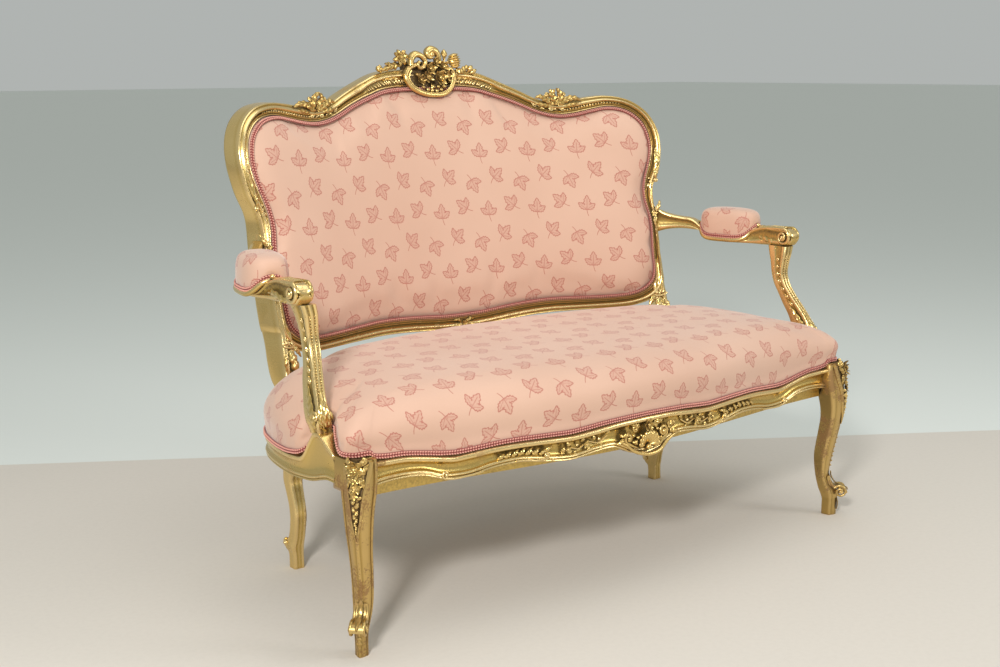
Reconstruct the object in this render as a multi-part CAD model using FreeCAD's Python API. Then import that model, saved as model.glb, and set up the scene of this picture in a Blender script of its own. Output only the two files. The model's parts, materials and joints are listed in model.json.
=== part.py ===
"""A carved and gilded settee of cabriole form: a moulded beech frame on four cabriole legs, a shaped and
curved back, open arms with padded rests, a sprung seat, and the upholstery that it carries.

Millimetres. +X is to the right of someone looking at the front, the settee faces -Y and +Z is up. While the
pieces are made, Y is counted from the line through the two front feet. At the end everything moves so that
the origin lies under the middle of the whole settee, on the floor.
"""
import FreeCAD, Part
import math
import os
from FreeCAD import Vector

# Overall sizes
SEAT_WIDTH = 1278.0        # between the centres of the front feet
REAR_FEET_WIDTH = 1032.0   # between the centres of the rear feet
SEAT_DEPTH = 457.0         # from the front feet to the rear feet
RAIL_TOP = 348.0           # top of the front rail at its middle
BACK_BASE = 461.0          # lowest point of the opening in the back
BACK_OPENING = 525.0       # height of that opening at its middle
BACK_WIDTH = 1108.0        # widest part of that opening
BACK_RAKE = 0.25           # how far the back leans for each unit of height
BACK_BOW = 134.0           # how far the ends of the back come forward of its middle
BOW_HALF_WIDTH = 560.0     # the half width at which that is measured
FRONT_BOW = 52.0           # how far the middle of the front rail stands before its ends
ARM_TOP = 656.0            # top of the arms at their scrolled ends
SEAT_CROWN = 468.0         # height of the middle of the seat

# Wood
FRAME_DEPTH = 34.0         # back frame, front to back, at the crest
SHOULDER_DEPTH = 38.0      # the same at the shoulders
STILE_DEPTH = 50.0         # the same at the foot of the uprights
MOULDING_RISE = 7.0        # how far the frame's moulding stands before the edge of the upholstery
RAIL_THICKNESS = 28.0      # front and side rails
RAIL_LINING = 285.0        # the straight lower edge of the front rail's inner half, above the floor
BACK_RAIL_THICKNESS = 26.0
BACK_RAIL_HEIGHT = 74.0
TENON_LENGTH = 20.0
TENON_THICKNESS = 9.0
TENON_HEIGHT = 26.0
DOWEL_DIAMETER = 8.0
DOWEL_LENGTH = 44.0
SCREW_DIAMETER = 4.0
SCREW_LENGTH = 34.0
CARVING_DEPTH = 9.0
HOLE_CLEARANCE = 0.2       # round every dowel, screw and tenon
GAP = 0.3                  # between curved pieces that lie on each other

# Upholstery
CLOTH = 1.6                # top cover with its lining
HESSIAN = 1.0
WEB_WIDTH = 50.0
WEB_THICKNESS = 1.6
GIMP_WIDTH = 9.0
GIMP_THICKNESS = 4.0
SPRING_WIRE = 3.6
SPRING_RADIUS = 38.0       # at top and bottom
SPRING_WAIST = 24.0
SPRING_TURNS = 5
SPRING_LINES = (165.0, 365.0)   # their places behind the front feet
SPRINGS_ACROSS = 7
SPRING_SPREAD = 430.0      # from the middle to the outermost springs
TWINE = 2.0                # the cord that lashes the springs
PAD_LENGTH = 146.0
PAD_WIDTH = 88.0
PAD_TOP = 691.0            # height of the arm pads
PAD_SIDES = 622.0          # where their covers end beside the arm
PAD_ENDS = 650.0           # and across it
PAD_SEAT = 644.0           # top of the arm's wood under the pad
PAD_RIDGE = 22.0           # half the width of that top

# The right half of the opening in the back, from the middle of the crest down the side and along the bottom
# to the middle: across, up, and the width of the frame outside that point.
OPENING = [
    (0, 986, 37), (60, 986, 38), (104, 984, 38), (138, 979, 36), (172, 969, 33), (206, 958, 30),
    (240, 945, 28), (272, 931, 27), (306, 920, 28), (345, 915, 31), (385, 919, 31), (425, 927, 29),
    (462, 933, 26), (497, 929, 25), (519, 919, 25), (536, 904, 25), (547, 886, 24.5), (553, 863, 24.5),
    (554, 838, 24), (549, 812, 25), (541, 788, 27), (534, 770, 25), (527, 748, 21.5), (523, 727, 20),
    (522.5, 705, 19), (526, 683, 15.5), (529, 658, 12.5), (528.5, 632, 13), (526, 605, 14.8),
    (523.5, 580, 15.5), (522, 556, 17), (520.5, 532, 18.5), (515, 512, 24), (504, 498, 28), (484, 484, 26), (458, 476, 25),
    (425, 472.5, 25), (375, 472, 25), (300, 474, 27), (245, 475.5, 28), (180, 473, 28), (120, 468.5, 28),
    (60, 463, 27), (0, 461, 27),
]
DRAWN_WIDTH, DRAWN_OPENING, DRAWN_BASE = 1108.0, 525.0, 461.0   # the sizes that OPENING is drawn at
CREST_JOINT = 20           # the point of OPENING where the crest rail meets the uprights
CORNER_START = 31          # the point where the upright leaves the opening

# The front rail from its middle to its end: across, lower edge and top edge.
APRON = [
    (0, 272, 348), (40, 279, 347.5), (60, 288, 347), (85, 297, 345.5), (130, 295, 341), (185, 288, 337),
    (240, 293, 338.5), (300, 301, 340), (355, 299, 339), (404, 291, 335.5), (440, 291, 334), (462, 294, 337),
    (500, 306, 344), (540, 310, 350), (580, 309, 351), (607, 306, 352),
]
DRAWN_SEAT_WIDTH, DRAWN_RAIL_TOP = 1278.0, 348.0

# The right side rail from the front leg to the rear leg: the outer face's place in plan, the inner face's
# place, the lower edge and the top edge. The top rises where the arm support stands.
SIDE_RAIL = [
    (660, 45, 631, 45, 310, 362), (664, 66, 633, 66, 312, 379), (665, 84, 634, 84, 308, 392),
    (665.5, 104, 635, 104, 302, 392), (666, 122, 635, 122, 298, 372), (667, 148, 636, 148, 295.5, 340),
    (668, 180, 637, 178, 293.5, 334), (665, 220, 634, 214, 292.5, 331.5), (655, 280, 625, 268, 292, 330),
    (641, 330, 612, 312, 291.5, 329), (620, 375, 592, 348, 291, 328), (594, 410, 569, 376, 290, 327),
    (566, 437, 548, 398, 289, 326), (543, 457, 543, 421, 288, 325),
]

# Front leg: height, and how far the leg reaches inwards, outwards and to each side of the foot's centre,
# along the diagonal through the corner of the seat.
FRONT_LEG = [
    (0, -16, 17, 12), (37, -16, 18, 12.5), (44, -19, 30, 14), (51, -22, 40, 15), (57, -24, 42, 15.5),
    (64, -26, 36, 16), (71, -28, 20, 17), (80, -30, 5, 18), (105, -35, -2, 19.5), (143, -38, 4, 20.5),
    (177, -34, 11, 21.5), (205, -30, 17, 23), (230, -27, 21, 25), (255, -28, 24, 27), (280, -33, 25, 29.5),
    (300, -38, 23, 32),
]
LEG_EDGE = 4.5             # half the flat along each corner of a leg
# The block at the top of the right front leg in plan, and the height of its top.
LEG_BLOCK = [(650, -13), (657, -5), (660, 20), (660, 45), (618, 45), (607, 34), (607, -3), (632, -8)]
LEG_BLOCK_BASE, LEG_BLOCK_TOP = 306.0, 362.0

# Rear upright below the opening: height, inner and outer face, front and back face, and how far it still
# turns with the curve of the back.
UPRIGHT_FOOT = [
    (514, 516.5, 538, -5, 50, 1), (500, 508, 537, -6, 48, 1), (475, 508, 538, -6, 45, 1),
    (440, 507, 539, -6, 46, 0.9), (405, 502, 542, -5, 47, 0.5), (370, 496, 543, -5, 41, 0),
]
REAR_LEG = [
    (335, 493, 543, 421, 464), (250, 493, 543, 421, 462), (222, 498, 537, 433, 468), (190, 501, 532, 446, 477),
    (165, 502, 530, 441, 471), (140, 502.5, 529.5, 434, 462), (117, 502.5, 529.5, 431, 458),
    (95, 503, 529, 434, 460), (76, 503, 529, 438, 464), (64, 503, 529, 441, 470), (56, 503, 530, 443, 482),
    (48, 503, 531, 445, 485), (40, 503, 530, 446, 480), (32, 504, 528, 446, 471), (0, 504, 528, 445, 469),
]
DRAWN_REAR_WIDTH, DRAWN_SEAT_DEPTH = 1032.0, 457.0

# Right arm from the upright to the scroll: the middle in plan, underside, top, half width, the direction in
# which it runs there in degrees from +X, the height where its sides end, and half the width of its top. The
# first row's place and direction come from the upright.
ARM = [
    (0, 0, 607, 711, 15.5, 0, 706, 11), (560, 503, 621, 686, 14.5, -38, 681, 10),
    (575, 482, 631, 670, 14, -55, 665, 9), (592, 455, 634, 664, 14, -61, 659, 9),
    (606, 428, 633, 660, 15, -64, 655, 10), (617, 405, 629, 644, 20, -67, 639, 15),
    (626, 382, 615, 643, 32, -70, 619, 21), (633, 354, 612, 643, 39, -75, 619, 21),
    (639, 318, 611, 643, 39, -79, 619, 21), (643, 286, 611, 643, 33, -82, 619, 21),
    (646, 258, 611, 645, 22, -84, 640, 17), (649, 229, 611, 656, 17, -86, 651, 12),
    (650.5, 199, 612, 656, 17, -88, 651, 12), (651.5, 170, 612, 655, 17, -89, 650, 12),
    (652, 152, 615, 651, 16, -90, 646, 11), (652, 143, 625, 643, 14, -90, 639, 10),
]
DRAWN_ARM_TOP = 656.0
PAD_CENTRE = (637.0, 333.0)    # the right pad in plan
PAD_TURN = -77.0               # the direction of its length, in degrees from +X

# Right arm support from the side rail up to the arm: height, middle in plan, half width, half depth.
SUPPORT = [
    (392, 651, 103, 14, 17), (410, 654, 104, 16, 22), (430, 655, 110, 13, 26), (452, 652, 120, 11, 25),
    (480, 645, 136, 11, 22), (505, 638, 149, 11, 18), (528, 633, 160, 12, 16), (552, 632, 167, 12, 16),
    (576, 634, 169, 13, 19), (597, 637, 171, 14, 24), (611.7, 641, 174, 15, 27),
]

# The line along which the seat cover ends, right half from the middle of the front round to the middle of
# the back: across, back and up. Where its fifth value is 0 the cover may not swell outwards.
SEAT_EDGE = [
    (0, -47, 349, 1), (60, -46.5, 348, 1), (110, -44, 346, 1), (150, -41, 342.5, 1), (190, -37.5, 340, 1),
    (235, -32.5, 341, 1), (280, -27, 342, 1), (335, -19, 342, 1), (385, -12, 339, 1), (430, -7.5, 337, 1),
    (465, -4.5, 340, 1), (500, -2, 346, 1), (540, 0, 352, 1), (580, 1.5, 354, 1), (602, 2, 358, 1),
    (609, 2, 364, 1), (638, 4, 364.5, 1), (649, 14, 364.5, 1), (653, 34, 366, 1), (649, 54, 381, 0),
    (640, 72, 393, 0), (632, 86, 395, 0), (631, 104, 395, 0), (632, 120, 395, 0), (644, 138, 362, 0),
    (660, 156, 343, 1), (664, 190, 335.5, 1), (661, 235, 333, 1), (649, 292, 331.5, 1), (633, 342, 330.5, 1),
    (610, 384, 329.5, 1), (582, 413, 328.5, 1), (556, 417, 328, 0), (538, 417, 338, 0), (514, 416, 340, 0),
    (491, 417, 338, 0), (489, 440, 332, 0), (482, 461, 327.5, 0), (430, 480, 327.5, 0), (360, 503, 327.5, 0),
    (280, 525, 327.5, 0), (190, 543, 327.5, 0), (100, 554, 327.5, 0), (0, 557.5, 327.5, 0),
]
SEAT_SPINE = (380.0, 262.0)    # half length of the seat's middle line, and its place in Y
SEAT_RINGS = [(-0.026, 0.26), (-0.036, 0.44), (-0.022, 0.62), (0.022, 0.77), (0.08, 0.875), (0.18, 0.945),
              (0.34, 0.98), (0.60, 0.996), (0.85, 1.0)]
SEAT_UNDERSIDE = [(0.06, 1.0), (0.13, 0.0), (0.45, 0.0), (0.85, 0.0)]
SEAT_END_FALL = 30.0           # how much lower the seat is above its ends
WEB_HEIGHT = 314.0             # underside of the webs across the seat frame
HESSIAN_HEIGHT = 405.0
SEAT_BACK_FALL = [(440, 0), (480, -6), (510, -16), (530, -28), (548, -48), (562, -80)]
SPINE_NODES = 4                # steps from the middle to the end of a cushion's middle line
BACK_CROWN = 24.0              # how far the back's upholstery swells before the frame's edge
BACK_PAD_RINGS = [(0.0, 5.0, 0.0), (0.012, 0.5, 0.0), (0.04, 0.0, 0.28), (0.10, 0.0, 0.55), (0.25, 0.0, 0.84),
                  (0.5, 0.0, 0.97), (0.75, 0.0, 1.0), (0.9, 0.0, 1.0)]
FLAT_RINGS = (0.0, 0.25, 0.5, 0.75, 0.9)
BACK_PAD_DEPTH = 22.0          # back of the stuffing behind the frame's reference face
BACK_SPINE = (330.0, 706.0)    # half length of the back's middle line, and its height


def lerp(a, b, t):
    return a + (b - a) * t


def table_value(table, at, column):
    """The value in a column of a table, smoothed between its rows, at a value of its first column."""
    if at <= table[0][0]:
        return table[0][column]
    if at >= table[-1][0]:
        return table[-1][column]
    k = max(i for i in range(len(table) - 1) if table[i][0] <= at)
    x0, x1 = table[k][0], table[k + 1][0]
    y0, y1 = table[k][column], table[k + 1][column]
    before, after = table[max(k - 1, 0)], table[min(k + 2, len(table) - 1)]
    m0 = (y1 - before[column]) / (x1 - before[0]) * (x1 - x0)
    m1 = (after[column] - y0) / (after[0] - x0) * (x1 - x0)
    t = (at - x0) / (x1 - x0)
    return ((2 * t ** 3 - 3 * t ** 2 + 1) * y0 + (t ** 3 - 2 * t ** 2 + t) * m0
            + (3 * t ** 2 - 2 * t ** 3) * y1 + (t ** 3 - t ** 2) * m1)


# Places that follow the overall sizes
def seat_x(x):
    """A place across the seat's front, drawn at the first width, at the present one."""
    return x * SEAT_WIDTH / DRAWN_SEAT_WIDTH


def rear_x(x):
    """A place across the rear legs at the present width."""
    return x + (REAR_FEET_WIDTH - DRAWN_REAR_WIDTH) / 2


def rear_y(y):
    """A depth at the rear legs at the present depth of the seat."""
    return y + SEAT_DEPTH - DRAWN_SEAT_DEPTH


def side_xy(x, y):
    """A place in plan between the front leg, which keeps its size, and the rear leg."""
    t = min(max((y - 45.0) / (457.0 - 45.0), 0.0), 1.0)
    wide = lerp(seat_x(639.0) - 639.0, rear_x(543.0) - 543.0, t)
    return x + wide, y + t * (SEAT_DEPTH - DRAWN_SEAT_DEPTH)


def rail_z(z):
    """A height on the legs and seat rails at the present rail height."""
    return z + RAIL_TOP - DRAWN_RAIL_TOP if z > 200 else z * (RAIL_TOP - 148.0) / 200.0


def arm_z(z):
    return z + ARM_TOP - DRAWN_ARM_TOP


def back_y(x, z):
    """The reference face of the back: raked, and curved forward at its ends."""
    return SEAT_DEPTH - 1.6 + BACK_RAKE * z - BACK_BOW * (x / BOW_HALF_WIDTH) ** 2


def back_place(x, z, depth, turned=1.0):
    """A place at a depth behind the reference face, square to that face's curve in plan."""
    slope = turned * 2 * BACK_BOW * x / BOW_HALF_WIDTH ** 2
    length = math.hypot(slope, 1.0)
    return Vector(x + depth * slope / length, back_y(x, z) + depth / length, z)


def opening_point(k):
    x, z, width = OPENING[k]
    up = (z - DRAWN_BASE) / DRAWN_OPENING
    return x * BACK_WIDTH / DRAWN_WIDTH, BACK_BASE + up * BACK_OPENING, width


def outer_point(k):
    """The outer edge of the frame, square to the opening's edge at that point."""
    x, z, width = opening_point(k)
    if k in (0, len(OPENING) - 1):
        return x, z + (width if k == 0 else -width)
    xa, za, _ = opening_point(k - 1)
    xb, zb, _ = opening_point(k + 1)
    length = math.hypot(xb - xa, zb - za)
    return x - (zb - za) / length * width, z + (xb - xa) / length * width


# Shapes from sections and rings
def closed_wire(points):
    return Part.makePolygon(list(points) + [points[0]])


def loft(sections):
    return Part.makeLoft([closed_wire(s) for s in sections], True, True)


def triangle(a, b, c):
    return Part.Face(Part.makePolygon([a, b, c, a]))


def strip(a, b):
    """Faces between two rings of as many points."""
    faces = []
    for i in range(len(a)):
        j = (i + 1) % len(a)
        faces += [triangle(a[i], a[j], b[j]), triangle(a[i], b[j], b[i])]
    return faces


def centre_of(points):
    total = Vector(0, 0, 0)
    for p in points:
        total += p
    return total * (1.0 / len(points))


def cap(ring):
    middle = centre_of(ring)
    return [triangle(middle, ring[i], ring[(i + 1) % len(ring)]) for i in range(len(ring))]


def spine_cap(ring, nodes):
    """Faces that close a ring along a line of nodes, which runs across it from end to end."""
    near = [min(range(len(nodes)), key=lambda j: abs(nodes[j].x - p.x)) for p in ring]
    faces = []
    for i in range(len(ring)):
        j = (i + 1) % len(ring)
        faces.append(triangle(ring[i], ring[j], nodes[near[j]]))
        if near[i] != near[j]:
            faces.append(triangle(ring[i], nodes[near[j]], nodes[near[i]]))
    return faces


def ring_solid(rings, closed=False, spines=None):
    """A solid whose skin runs through rings. It is capped at both ends, at the two spines where they are
    given, or closed on itself like a tube."""
    faces = []
    for a, b in zip(rings, rings[1:]):
        faces += strip(a, b)
    if closed:
        faces += strip(rings[-1], rings[0])
    elif spines:
        faces += spine_cap(rings[0], spines[0]) + spine_cap(rings[-1], spines[1])
    else:
        faces += cap(rings[0]) + cap(rings[-1])
    shell = Part.makeShell(faces)
    shell.sewShape()
    solid = Part.makeSolid(shell)
    return solid if solid.Volume > 0 else solid.reversed()


def box(x0, x1, y0, y1, z0, z1):
    return Part.makeBox(x1 - x0, y1 - y0, z1 - z0, Vector(x0, y0, z0))


def prism(plan, z0, z1):
    face = Part.Face(closed_wire([Vector(x, y, z0) for x, y in plan]))
    return face.extrude(Vector(0, 0, z1 - z0))


def cylinder(start, direction, radius, length):
    return Part.makeCylinder(radius, length, start, direction)


def mirrored(shape):
    return shape.mirror(Vector(0, 0, 0), Vector(1, 0, 0))


def whole_ring(half):
    """A closed ring from its right half, which starts and ends on the middle line."""
    return half + [Vector(-p.x, p.y, p.z) for p in reversed(half[1:-1])]


# Timber frame
FRAME_PROFILE = [(0.0, 6), (0.14, -2), (0.45, -MOULDING_RISE), (0.8, -4), (1.0, 6)]


def frame_section(inner, outer, depth):
    """The moulded section of the back frame between its inner and outer edge."""
    profile = FRAME_PROFILE + [(1.0, depth - 3), (0.92, depth), (0.08, depth)]
    start, end = back_place(*inner, 0.0), back_place(*outer, 0.0)
    square = back_place(*inner, 1.0) - start
    return [start + (end - start) * across + square * back for across, back in profile]


def frame_depth(k):
    """The frame's depth at a point of the opening: it grows from the crest to the uprights' feet."""
    if k > CORNER_START:
        return FRAME_DEPTH
    grown = min(max((k - 10) / 6.0, 0.0), 1.0)
    low = min(max((k - 20) / 8.0, 0.0), 1.0)
    return FRAME_DEPTH + (SHOULDER_DEPTH - FRAME_DEPTH) * grown + (STILE_DEPTH - SHOULDER_DEPTH) * low


def frame_station(k):
    return frame_section(opening_point(k)[:2], outer_point(k), frame_depth(k))


def dowel_line(k):
    """The middle of the crest joint and the direction square to it."""
    (x, z, _), (u, w) = opening_point(k), outer_point(k)
    mid_x, mid_z = (x + u) / 2, (z + w) / 2
    length = math.hypot(u - x, w - z)
    along = Vector((w - z) / length, 0, -(u - x) / length)
    along.y = back_y(mid_x + along.x, mid_z + along.z) - back_y(mid_x, mid_z)
    along.normalize()
    return back_place(mid_x, mid_z, SHOULDER_DEPTH / 2 - 2), along


def crest_dowel(extra):
    middle, along = dowel_line(CREST_JOINT)
    half = DOWEL_LENGTH / 2 + extra
    return cylinder(middle - along * half, along, DOWEL_DIAMETER / 2 + extra, 2 * half)


def make_crest_rail():
    right = [frame_station(k) for k in range(CREST_JOINT + 1)]
    left = [[Vector(-p.x, p.y, p.z) for p in s] for s in reversed(right[1:])]
    rail = loft(left + right)
    hole = crest_dowel(HOLE_CLEARANCE)
    return rail.cut(hole).cut(mirrored(hole))


def upright_face_x():
    """The inner face of the upright where the bottom rail of the back meets it."""
    return rear_x(508.0)


def eased_box(x0, x1, y0, y1):
    """The corners of an upright's level section: a rectangle with three of its edges eased."""
    ease = 4.0
    return [(x0, y0 + ease), (x0 + ease, y0), ((x0 + x1) / 2, y0), (x1 - ease, y0), (x1, y0 + ease),
            (x1, y1 - ease), (x1 - ease, y1), (x0 + ease, y1)]


def make_rear_upright():
    sections = [frame_station(k) for k in range(CREST_JOINT, CORNER_START + 1)]
    for z, x0, x1, front, back, turned in UPRIGHT_FOOT:
        corners = eased_box(rear_x(x0), rear_x(x1), front, back)
        sections.append([back_place(x, z, depth, turned) for x, depth in corners])
    for z, x0, x1, y0, y1 in REAR_LEG:
        corners = eased_box(rear_x(x0), rear_x(x1), rear_y(y0), rear_y(y1))
        sections.append([Vector(x, y, rail_z(z)) for x, y in corners])
    upright = loft(sections)
    for tool in (crest_dowel(HOLE_CLEARANCE), arm_dowel(HOLE_CLEARANCE), bottom_rail_tenon(HOLE_CLEARANCE),
                 back_rail_tenon(HOLE_CLEARANCE), side_rail_rear_tenon(HOLE_CLEARANCE)):
        upright = upright.cut(tool)
    return upright


def bottom_rail_tenon(extra):
    face, z = upright_face_x(), BACK_BASE + 12.0
    y = back_y(face, z) + 14.0
    half = TENON_THICKNESS / 2 + extra
    reach = 6.0 if extra == 0 else 1.0
    return box(face - reach, face + TENON_LENGTH + extra, y - half, y + half,
               z - TENON_HEIGHT / 2 - extra, z + TENON_HEIGHT / 2 + extra)


def make_back_bottom_rail():
    sections = [frame_station(k) for k in range(len(OPENING) - 1, CORNER_START + 2, -1)]
    face = upright_face_x()
    end_top = opening_point(CORNER_START + 2)[1] + 2.4
    face -= 2 * GAP
    sections.append(frame_section((face, end_top), (face, BACK_BASE - 10.0), FRAME_DEPTH))
    left = [[Vector(-p.x, p.y, p.z) for p in s] for s in reversed(sections[1:])]
    rail = loft(left + sections)
    tenon = bottom_rail_tenon(0)
    return rail.fuse(tenon).fuse(mirrored(tenon))


def front_y(x):
    """The face of the front rail in plan: straight at its ends and bowed between them."""
    across = min(abs(x), seat_x(620.0)) / seat_x(620.0)
    return -FRONT_BOW * (1 + math.cos(math.pi * across)) / 2


def make_front_rail():
    end = seat_x(639.0) - 32.0
    count = 26
    sections = []
    for i in range(-count, count + 1):
        x = end * i / count
        drawn = abs(x) * 607.0 / end
        low, top = rail_z(table_value(APRON, drawn, 1)), rail_z(table_value(APRON, drawn, 2))
        y = front_y(x)
        band = min(12.0, 0.25 * (top - low))
        inner, middle = min(low - 0.5, rail_z(RAIL_LINING)), RAIL_THICKNESS / 2
        profile = [(0, top), (0, top - band), (6, top - band - 3), (6, low + band - 2), (2, low + 6), (3, low),
                   (middle, low), (middle + 1, inner), (RAIL_THICKNESS, inner), (RAIL_THICKNESS, top)]
        sections.append([Vector(x, y + d, z) for d, z in profile])
    rail = loft(sections)
    tenon = front_rail_tenon(0)
    return rail.fuse(tenon).fuse(mirrored(tenon))


def front_rail_tenon(extra):
    face, z = seat_x(639.0) - 32.0, rail_z(331.0)
    half = TENON_THICKNESS / 2 + extra
    return box(face - (3.0 if extra == 0 else 1.0), face + TENON_LENGTH + extra, 16 - half, 16 + half,
               z - TENON_HEIGHT / 2 - extra, z + TENON_HEIGHT / 2 + extra)


def side_rail_front_tenon(extra):
    (x, y), z = side_xy(646.0, 45.0), rail_z(334.0)
    half = TENON_THICKNESS / 2 + extra
    return box(x - half, x + half, y - TENON_LENGTH - extra, y + (3.0 if extra == 0 else 1.0),
               z - TENON_HEIGHT / 2 - extra, z + TENON_HEIGHT / 2 + extra)


def side_rail_rear_tenon(extra):
    (x, y), z = (rear_x(543.0), rear_y(441.0)), rail_z(306.5)
    half = TENON_THICKNESS / 2 + extra
    return box(x - TENON_LENGTH - extra, x + (3.0 if extra == 0 else 1.0), y - half, y + half,
               z - TENON_HEIGHT / 2 - extra, z + TENON_HEIGHT / 2 + extra)


def make_side_rail():
    sections = []
    for ox, oy, ix, iy, low, top in SIDE_RAIL:
        (ox, oy), (ix, iy) = side_xy(ox, oy), side_xy(ix, iy)
        low, top = rail_z(low), rail_z(top)
        outer, inner = Vector(ox, oy, 0), Vector(ix, iy, 0)
        inward = (inner - outer) * (1.0 / (inner - outer).Length)
        profile = [(0, top), (0, top - 11), (5, top - 14), (5, low + 10), (1, low + 6), (2, low)]
        ring = [outer + inward * d + Vector(0, 0, z) for d, z in profile]
        sections.append(ring + [inner + Vector(0, 0, low), inner + Vector(0, 0, top)])
    rail = loft(sections).fuse(side_rail_front_tenon(0)).fuse(side_rail_rear_tenon(0))
    return rail.cut(support_dowel(HOLE_CLEARANCE))


def back_rail_y(x):
    """The front face of the back seat rail: it follows the back's curve at that height."""
    return back_y(x, 0.0) + 0.25 * rail_z(290.0) + 4.0


def back_rail_tenon(extra):
    face, z = rear_x(493.0), rail_z(290.0)
    y = rear_y(443.0)
    half = TENON_THICKNESS / 2 + extra
    return box(face - (3.0 if extra == 0 else 1.0), face + TENON_LENGTH + extra, y - half, y + half,
               z + 9 - extra, z + 9 + TENON_HEIGHT + extra)


def make_back_seat_rail():
    end, count = rear_x(493.0), 12
    low, top = rail_z(325.0) - BACK_RAIL_HEIGHT, rail_z(325.0)
    sections = []
    for i in range(-count, count + 1):
        x = end * i / count
        y = back_rail_y(x)
        sections.append([Vector(x, y, low), Vector(x, y + BACK_RAIL_THICKNESS, low),
                         Vector(x, y + BACK_RAIL_THICKNESS, top), Vector(x, y, top)])
    rail = loft(sections)
    tenon = back_rail_tenon(0)
    return rail.fuse(tenon).fuse(mirrored(tenon))


def leg_plan(s, t):
    """A place in plan from its distance along and across the diagonal of the right front corner."""
    c = math.sqrt(0.5)
    return seat_x(639.0) + c * (s + t), c * (t - s)


def make_front_leg():
    sections = []
    for z, inside, outside, side in FRONT_LEG:
        mid, e = (inside + outside) / 2, LEG_EDGE
        plan = [(outside, -e), (outside, e), (mid + e, side), (mid - e, side), (inside, e), (inside, -e),
                (mid - e, -side), (mid + e, -side)]
        sections.append([Vector(*leg_plan(s, t), rail_z(z)) for s, t in plan])
    block = [(x + seat_x(639.0) - 639.0, y) for x, y in LEG_BLOCK]
    for z in (LEG_BLOCK_BASE, LEG_BLOCK_TOP):
        sections.append([Vector(x, y, rail_z(z)) for x, y in block])
    leg = loft(sections)
    return leg.cut(front_rail_tenon(HOLE_CLEARANCE)).cut(side_rail_front_tenon(HOLE_CLEARANCE))


def make_corner_blocks():
    """Braces glued and screwed into the four corners of the seat frame."""
    leg = seat_x(639.0)
    front = prism([(leg - 175, 28.4), (leg - 32.3, 28.4), (leg - 32.3, 34.2), (leg - 21.2, 45.3),
                   (leg - 8.5, 45.3), (leg - 8.5, 100), (leg - 16, 100)], rail_z(284.0), rail_z(333.0))
    x, y = rear_x(493.0), rear_y(421.0)
    rear = prism([(x - 74, y - 3), (x - 30, y - 0.6), (x + 46, y - 0.6), (x + 50, y - 30), (x + 36, y - 42)],
                 rail_z(290.0), rail_z(312.0))
    return [front, mirrored(front), rear, mirrored(rear)]


def corner_screw_lines():
    """Start and direction of each screw in the right-hand corner blocks, driven from inside the seat."""
    leg, z_front, z_rear = seat_x(639.0), rail_z(324.0), rail_z(301.0)
    x, y = rear_x(493.0), rear_y(421.0)
    return [
        (Vector(leg - 80, 46, z_front), Vector(0, -1, 0)),
        (Vector(leg - 24, 84, z_front), Vector(1, 0, 0)),
        (Vector(x + 14, y - 28, z_rear), Vector(0, 1, 0)),
    ]


def screw(start, direction, extra):
    """A countersunk wood screw, or its hole."""
    radius = SCREW_DIAMETER / 2
    shank = cylinder(start, direction, radius + extra, SCREW_LENGTH + extra)
    head = Part.makeCone(2 * radius + extra, radius + extra, 2 * radius, start, direction)
    return shank.fuse(head)


# Arms
def arm_root():
    """Where the right arm meets the upright: the middle of that face, and the direction square to it."""
    edge, _ = outer_point(25)
    slope = 2 * BACK_BOW * edge / BOW_HALF_WIDTH ** 2
    out = Vector(1.0, -slope, 0)
    out.normalize()
    middle = back_place(edge, ARM_TOP, 22.0) + out * 2 * GAP
    return middle, out


def arm_section(row):
    x, y, low, top, half, turn, shoulder, crown = row
    low, top, shoulder = arm_z(low), arm_z(top), arm_z(shoulder)
    if row is ARM[0]:
        middle, out = arm_root()
        middle.z = 0
        side = Vector(-out.y, out.x, 0)
    else:
        middle = Vector(*side_xy(x, y), 0)
        side = Vector(-math.sin(math.radians(turn)), math.cos(math.radians(turn)), 0)
    ease = min(5.0, (top - low) / 4)
    profile = [(-half, low + ease), (-half + ease, low), (half - ease, low), (half, low + ease),
               (half, shoulder), (crown, top), (-crown, top), (-half, shoulder)]
    return [middle + side * a + Vector(0, 0, z) for a, z in profile]


def make_arm():
    arm = loft([arm_section(row) for row in ARM])
    return arm.cut(arm_dowel(HOLE_CLEARANCE)).cut(support_top_dowel(HOLE_CLEARANCE))


def make_arm_support():
    sections = []
    for z, x, y, half_x, half_y in SUPPORT:
        drawn_low, drawn_high = SUPPORT[0][0], SUPPORT[-1][0]
        t = (z - drawn_low) / (drawn_high - drawn_low)
        height = lerp(rail_z(drawn_low), arm_z(drawn_high + GAP), t)
        x, y = side_xy(x, y)
        e = 4.0
        plan = [(-half_x, -half_y + e), (-half_x + e, -half_y), (half_x - e, -half_y), (half_x, -half_y + e),
                (half_x, half_y - e), (half_x - e, half_y), (-half_x + e, half_y), (-half_x, half_y - e)]
        sections.append([Vector(x + a, y + b, height) for a, b in plan])
    return loft(sections).cut(support_dowel(HOLE_CLEARANCE)).cut(support_top_dowel(HOLE_CLEARANCE))


def arm_dowel(extra):
    middle, out = arm_root()
    middle.z = arm_z(655.0)
    return cylinder(middle - out * (10 + extra), out, DOWEL_DIAMETER / 2 + extra, 24 + 2 * extra)


def support_dowel(extra):
    x, y = side_xy(SUPPORT[0][1] - 1.0, SUPPORT[0][2] - 8.0)
    start = Vector(x, y, rail_z(SUPPORT[0][0]) - 22 - extra)
    return cylinder(start, Vector(0, 0, 1), DOWEL_DIAMETER / 2 + extra, 44 + 2 * extra)


def support_top_dowel(extra):
    x, y = side_xy(SUPPORT[-1][1], SUPPORT[-1][2])
    start = Vector(x, y, arm_z(SUPPORT[-1][0] + GAP) - 20 - extra)
    return cylinder(start, Vector(0, 0, 1), DOWEL_DIAMETER / 2 + extra, 40 + 2 * extra)


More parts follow.
